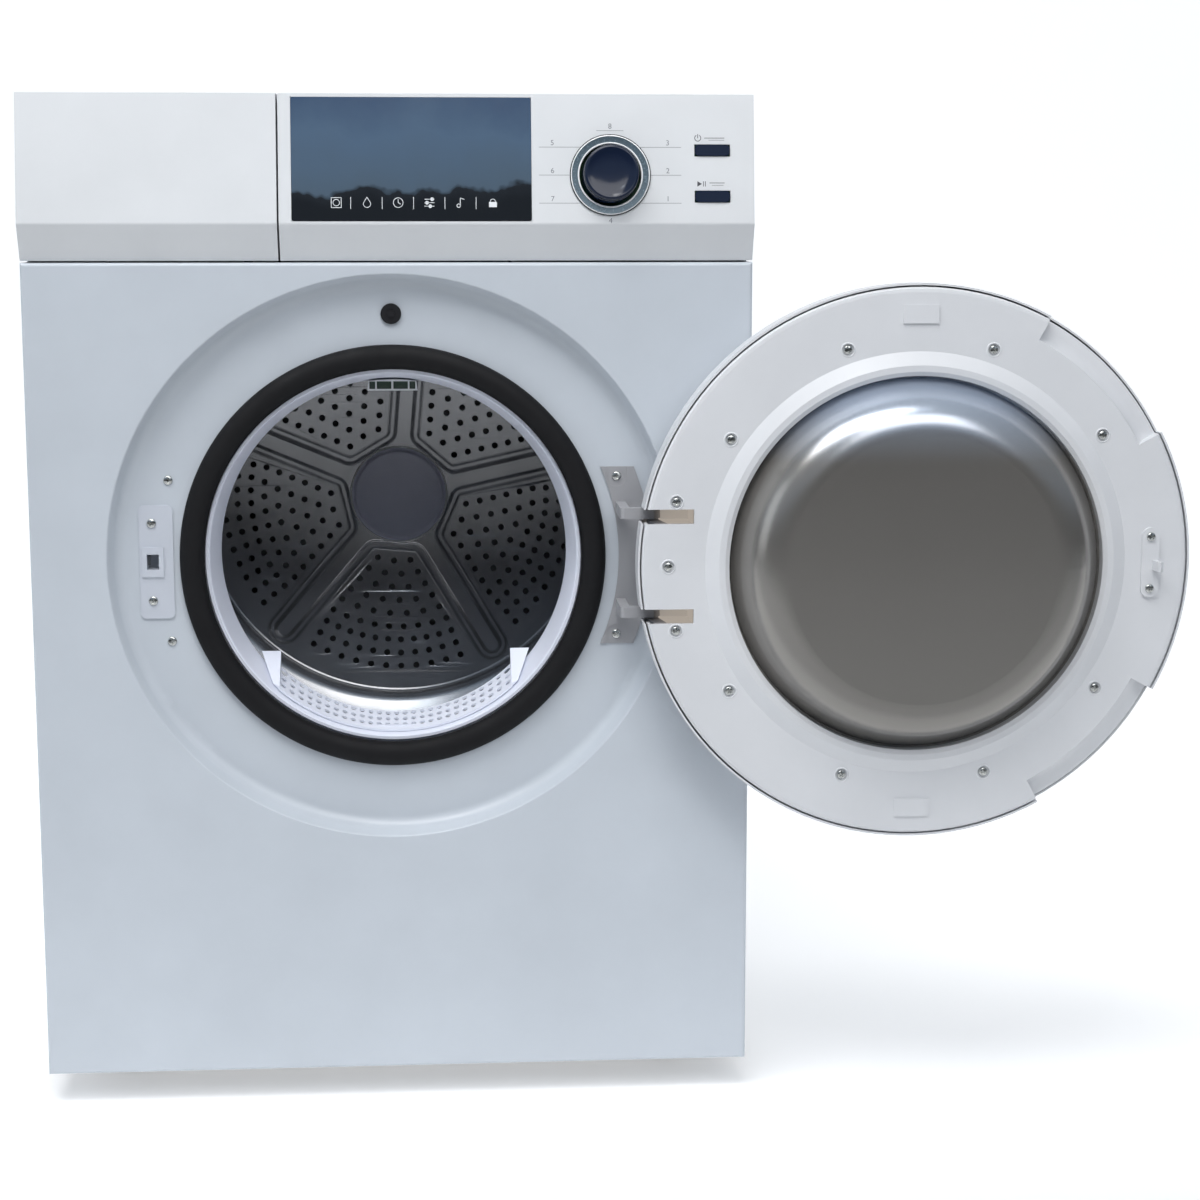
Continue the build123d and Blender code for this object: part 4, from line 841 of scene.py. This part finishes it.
def key_markings():
    ink = 0.55
    strokes = [arc_stroke(251.2, 69.6, 2.5, ink, 118, 304), bar(251.2, 69.4, 251.2, 72.8, ink)]
    strokes += [bar(256.5, 69.6, 273, 69.6, 0.5), bar(260, 67.9, 273, 67.9, 0.3)]
    strokes += [polygon((250.6, 34.6), (250.6, 30.2), (254.4, 32.4))]
    strokes += [bar(255.6, 30.3, 255.6, 34.5, ink), bar(257.2, 30.3, 257.2, 34.5, ink)]
    strokes += [bar(260.5, 33.2, 273, 33.2, 0.5), bar(262.5, 31.3, 272, 31.3, 0.3)]
    printed("key_markings", "cabinet", ink_dark, strokes)


def display_markings():
    """Six plain pictograms along the display's foot, parted by short bars."""
    strokes = [bar(x, 11.8, x, 21.6, 0.45) for x in (-30.8, -5.5, 19.8, 45.1, 70.3)]
    w = 0.5
    y = 17.0
    x = -42.4
    strokes += [bar(x - 4, y - 4, x + 4, y - 4, w), bar(x - 4, y + 4, x + 4, y + 4, w)]
    strokes += [bar(x - 4, y - 4.2, x - 4, y + 4.2, w), bar(x + 4, y - 4.2, x + 4, y + 4.2, w)]
    strokes += [arc_stroke(x, y, 2.6, w)]
    x = -17.7
    strokes += [arc_stroke(x, y - 1, 2.9, w, 152, 236), bar(x - 2.5, y + 0.5, x, y + 4.4, w)]
    strokes += [bar(x + 2.5, y + 0.5, x, y + 4.4, w)]
    x = 7.4
    strokes += [arc_stroke(x, y, 3.9, w), bar(x, y, x, y + 2.7, w), bar(x, y, x + 2, y - 1.2, w)]
    x = 32.6
    strokes += [bar(x - 4, y + dy, x + 4, y + dy, w) for dy in (-2.8, 0, 2.8)]
    strokes += [arc_stroke(x + 2.2, y + 2.8, 1, 0.9), arc_stroke(x - 2, y, 1, 0.9)]
    strokes += [arc_stroke(x + 0.6, y - 2.8, 1, 0.9)]
    x = 57.8
    strokes += [arc_stroke(x - 1.6, y - 2.4, 1.4, w), bar(x - 0.3, y - 2.4, x - 0.3, y + 3.8, w)]
    strokes += [bar(x - 0.3, y + 3.8, x + 3, y + 2.6, w)]
    x = 83.9
    strokes += [polygon((x - 3.2, y - 3.6), (x + 3.2, y - 3.6), (x + 3.2, y + 0.6), (x - 3.2, y + 0.6))]
    strokes += [arc_stroke(x, y + 0.8, 2.1, w, 0, 180)]
    printed("display_markings", "cabinet", ink_white, strokes, 0.3)


def ring_on_panel(name, body, material, profile, steps=120):
    """A ring round the dial from a profile of (radius, height over the face)."""
    points = []
    for i in range(steps):
        turn = 2 * pi * i / steps
        for radius, out in profile:
            points.append(panel_point(dial[0] + radius * cos(turn), dial[1] + radius * sin(turn), out))
    faces = grid_faces(steps, len(profile), closed_rows=True, closed_columns=True)
    made = piece(name, body, material, points, faces, sharp=35)
    return made


def dial_bezel():
    """A dark outer line, two bright rings and the blue-grey band between them."""
    outer = ((33, 0), (33, 1.1), (32.7, 1.4), (32.2, 1.4), (32.2, 0))
    bright = ((32.2, 0), (32.2, 1.5), (31.9, 1.6), (31.5, 1.6), (31.3, 1.3), (31.3, 0))
    band = ((31.3, 0), (31.3, 1.25), (29, 1.1), (26.6, 1.0), (26.6, 0))
    inner = ((26.6, 0), (26.6, 1.3), (26.4, 1.6), (25.6, 1.6), (25.25, 1.2), (25.25, 0))
    made = ring_on_panel("bezel_outer_line", "cabinet", black_gloss, outer)
    ring_on_panel("bezel_bright_ring", "cabinet", bezel_metal, bright)
    ring_on_panel("bezel_band", "cabinet", band_blue, band)
    ring_on_panel("bezel_inner_ring", "cabinet", bezel_metal, inner)
    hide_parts("dial_bezel")


def knob_cap():
    """The knob: a slightly dished glossy face in a rounded rim, over a hollow skirt."""
    profile = [(0, 15.4), (8, 15.5), (14, 15.8), (18.4, 16.4)]
    profile += [(19.6, 16.85), (20.6, 16.95), (21.5, 16.7), (22.1, 16.0), (22.35, 15.0)]
    profile += [(22.7, 8), (23.0, 0), (23.0, -1.8), (20.2, -1.8), (20.0, 8), (19.6, 13.5), (3.4, 13.5)]
    profile += [(3.4, -1.6), (3.06, -1.6), (3.06, 9.6), (0, 9.6)]
    steps = 120
    points = []
    for i in range(steps):
        turn = 2 * pi * i / steps
        for radius, out in profile:
            points.append(panel_point(dial[0] + radius * cos(turn), dial[1] + radius * sin(turn), out))
    made = piece("knob_cap", "knob", knob_gloss, points, grid_faces(steps, len(profile), True), sharp=50)
    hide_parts("programme_knob")


# --- Seals, belt and hose ------------------------------------------------------------


def swept(line, section_at, steps_round):
    """A tube along a line of points: section_at(i) is its radius there."""
    points = []
    count = len(line)
    for i, here in enumerate(line):
        ahead = (line[min(i + 1, count - 1)] - line[max(i - 1, 0)]).normalized()
        side = ahead.cross(Vector((0, 0, 1)))
        if side.length < 0.2:
            side = ahead.cross(Vector((1, 0, 0)))
        side.normalize()
        up = side.cross(ahead)
        for k in range(steps_round):
            turn = 2 * pi * k / steps_round
            points.append(here + (side * cos(turn) + up * sin(turn)) * section_at(i))
    faces = grid_faces(count, steps_round, closed_columns=True)
    faces.append(tuple(range(steps_round)))
    faces.append(tuple(reversed(range((count - 1) * steps_round, count * steps_round))))
    return points, faces


def drive_belt():
    """The ribbed belt: a flat back outside and five small ribs inside, round drum and pulley."""
    gap_radius, pulley_gap = 262.3, 9.3
    pulley_x, pulley_drop = 60, 122 - opening.z / MM
    reach = sqrt(pulley_x**2 + pulley_drop**2)
    heading = degrees(atan2(pulley_drop, pulley_x))
    spread = degrees(acos((gap_radius - pulley_gap) / reach))
    loop = []
    for i in range(161):
        turn = radians(heading + spread + (360 - 2 * spread) * i / 160)
        loop.append((0, 0, gap_radius, cos(turn), sin(turn)))
    for i in range(17):
        turn = radians(heading - spread + 2 * spread * i / 16)
        loop.append((pulley_x, pulley_drop, pulley_gap, cos(turn), sin(turn)))
    section = [(1.55, -3.9), (1.55, 3.9), (0.7, 4.0)]
    for k in range(5):
        across = 3.2 - 1.6 * k
        section += [(0.02, across + 0.4), (0.02, across - 0.4)]
        if k < 4:
            section.append((0.7, across - 0.8))
    section.append((0.7, -4.0))
    points = []
    for x, z, radius, c, s in loop:
        for out, across in section:
            r = radius + out
            points.append(
                (opening.x + (x + r * c) * MM, front_y + (385 + across) * MM, opening.z + (z + r * s) * MM)
            )
    faces = grid_faces(len(loop), len(section), closed_rows=True, closed_columns=True)
    made = piece("drive_belt_ribbed", "cabinet", rubber, points, faces, sharp=25)
    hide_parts("drive_belt")


def condensate_hose():
    """The corrugated hose from the pump up to the tank's inlet."""
    x, depth, low, high, bend = -150, 515, 87, 734, 12
    path = []
    rise = high - bend - low
    count = 260
    for i in range(count):
        path.append((depth, low + rise * i / (count - 1)))
    for i in range(1, 13):
        turn = i / 12 * pi / 2
        path.append((depth - bend + bend * cos(turn), high - bend + bend * sin(turn)))
    path += [(depth - bend - 1.95 * i, high) for i in range(1, 7)]
    line = [Vector((x * MM, front_y + d * MM, z * MM)) for d, z in path]
    points, faces = swept(line, lambda i: (4.95 if i % 2 else 4.3) * MM, 20)
    made = piece("condensate_hose_corrugated", "cabinet", rubber, points, faces, sharp=80)
    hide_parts("condensate_hose")


# --- The door ------------------------------------------------------------------------


def hinge_slots():
    """Pale liners in the ring's two hinge slots, open towards the hinge; their material glows faintly, a
    painted light that makes the slots look lit.
    """
    parts = []
    left, right, half, mouth, floor = -208, -183.2, 7.0, -53.2, -10.8
    for level in (-41, 41):
        corners = []
        for depth in (mouth, floor):
            outline = [(left, level + half), (right, level + half)]
            outline += [(right, level - half), (left, level - half)]
            corners += facing_user(outline, door, depth)
        faces = [(0, 1, 5, 4), (1, 2, 6, 5), (2, 3, 7, 6), (4, 5, 6, 7)]
        parts.append(thickened(corners, faces, lambda p: Vector((0, 0.8 * MM, 0))))
    points, faces = merged(parts)
    made = piece("hinge_slot_liners", "door", slot_beige_painted_glow, points, faces, False)


def pocket_rims():
    """The fine raised lip round each screw pocket of the ring."""
    parts = []
    for x, z in outer_screws + hinge_screws:
        centre = Vector((door.x + x * MM, 0, door.z + z * MM))
        lip = ((5.0, -55.4), (5.0, -56.25), (5.3, -56.45), (5.9, -56.35), (6.4, -56.02), (6.4, -55.4))
        parts.append(turned(lip, centre, 40))
    points, faces = merged(parts)
    made = piece("pocket_rims", "door", ring_plastic, points, faces)


drum_back_wall()
hub_dish()
hub_ring()
filter_cover()
filter_mesh()
door_seal()
lamp_cells()
screws("cabinet_screw_heads", "cabinet", "cabinet_screws", opening, cabinet_spots, cabinet_seats, 4, 1.6)
screws("door_screw_heads", "door", "door_screws", door, door_spots, door_seats, 3.8, 1.9)
dial_markings()
key_markings()
display_markings()
dial_bezel()
knob_cap()
drive_belt()
condensate_hose()
hinge_slots()
pocket_rims()

# --- Studio --------------------------------------------------------------------------


sky_strength = 0.42
floor_glow = 0.5
pale_span = (-0.95, -0.45)
glow_span = (-0.7, 0.1)


def studio_floor():
    """A pale floor that curves up into a backdrop far behind."""
    half_width, near, far, bend, top = 6.0, -2.7, 5.0, 2.0, 6.0
    steps = 16
    line = [(near, 0.0), (far - bend, 0.0)]
    for i in range(1, steps + 1):
        turn = i / steps * pi / 2
        line.append((far - bend + bend * sin(turn), bend - bend * cos(turn)))
    line.append((far, top))
    points = [(x, y, z) for y, z in line for x in (-half_width, half_width)]
    faces = [(2 * i, 2 * i + 1, 2 * i + 3, 2 * i + 2) for i in range(len(line) - 1)]
    mesh = bpy.data.meshes.new("studio_floor")
    mesh.from_pydata(points, [], faces)
    for face in mesh.polygons:
        face.use_smooth = True
    floor = bpy.data.objects.new("studio_floor", mesh)
    bpy.context.scene.collection.objects.link(floor)
    made = Nodes("studio_floor")
    depth = made.along("Y")
    behind = made.range(depth, 0.0, 1.0, *pale_span)
    mottled = made.range(made.noise(0.8, 2), -0.03, 0.03)
    made.tint(made.total(behind, mottled), (0.6, 0.6, 0.6), (0.88, 0.88, 0.88))
    glow = made.range(depth, 0.0, floor_glow, *glow_span)
    made.join(glow, made.shader.inputs["Emission Strength"])
    made.join(made.range(made.noise(0.3, 2), 0.7, 0.85), made.shader.inputs["Roughness"])
    made.set(Emission_Color=(1, 1, 1, 1))
    mesh.materials.append(made.material)


def hang(name, light, place, target, power, colour):
    """Put a light at its place, turned towards its target."""
    light.energy = power
    light.color = colour
    lamp = bpy.data.objects.new(name, light)
    lamp.location = place
    lamp.rotation_euler = (Vector(target) - Vector(place)).to_track_quat("-Z", "Y").to_euler()
    bpy.context.scene.collection.objects.link(lamp)


def area_light(name, place, target, width, height, power, colour=(1, 1, 1)):
    light = bpy.data.lights.new(name, "AREA")
    light.shape = "RECTANGLE"
    light.size, light.size_y = width, height
    hang(name, light, place, target, power, colour)


def spot_light(name, place, target, cone, radius, power, colour):
    light = bpy.data.lights.new(name, "SPOT")
    light.spot_size = radians(cone)
    light.spot_blend = 1.0
    light.shadow_soft_size = radius
    hang(name, light, place, target, power, colour)


def studio_world():
    """An open sky over a dim horizon; plain white where the camera sees it directly."""
    world = bpy.data.worlds.new("studio")
    bpy.context.scene.world = world
    world.use_nodes = True
    tree = world.node_tree
    background = tree.nodes["Background"]
    place = tree.nodes.new("ShaderNodeTexCoord")
    split = tree.nodes.new("ShaderNodeSeparateXYZ")
    ramp = tree.nodes.new("ShaderNodeValToRGB")
    ground, haze, low_sky, high_sky = (
        (0.05, 0.047, 0.045), (0.16, 0.17, 0.19), (0.62, 0.78, 1.0), (0.9, 0.95, 1.0)
    )
    set_stops(ramp, ((0.0, ground), (0.12, haze), (0.24, low_sky), (1.0, high_sky)))
    tree.links.new(place.outputs["Generated"], split.inputs["Vector"])
    tree.links.new(split.outputs["Z"], ramp.inputs["Fac"])
    tree.links.new(ramp.outputs["Color"], background.inputs["Color"])
    background.inputs["Strength"].default_value = sky_strength
    plain = tree.nodes.new("ShaderNodeBackground")
    mixed = tree.nodes.new("ShaderNodeMixShader")
    path = tree.nodes.new("ShaderNodeLightPath")
    tree.links.new(path.outputs["Is Camera Ray"], mixed.inputs["Fac"])
    tree.links.new(background.outputs["Background"], mixed.inputs[1])
    tree.links.new(plain.outputs["Background"], mixed.inputs[2])
    plain.inputs["Color"].default_value = (1, 1, 1, 1)
    tree.links.new(mixed.outputs["Shader"], tree.nodes["World Output"].inputs["Surface"])


def photo_camera():
    """The camera: a long lens at chest height, a little right of the middle, looking down."""
    data = bpy.data.cameras.new("camera")
    data.lens = 72.6
    data.sensor_width = 36
    camera = bpy.data.objects.new("camera", data)
    camera.location = (0.0256, -2.2747, 0.7467)
    camera.rotation_euler = (radians(90 - 9.0), radians(-0.01), radians(-4.18))
    bpy.context.scene.collection.objects.link(camera)
    bpy.context.scene.camera = camera


studio_floor()
studio_world()
area_light("top_light", (-0.5, -1.5, 3.0), (0.1, -0.1, 0.5), 2.2, 1.4, 62)
area_light("front_light", (0.9, -3.4, 2.8), (0.1, 0, 0.6), 2.4, 1.6, 38, (1, 0.98, 0.96))
spot_light("drum_spot", (-0.15, -2.9, 2.0), (0.0, 0.2, 0.38), 8, 0.25, 18, (0.8, 0.9, 1))
area_light("left_light", (-3.0, -1.2, 1.4), (0, 0, 0.5), 1.6, 2.0, 12, (0.9, 0.95, 1))
photo_camera()
bpy.context.scene.view_settings.view_transform = "Standard"
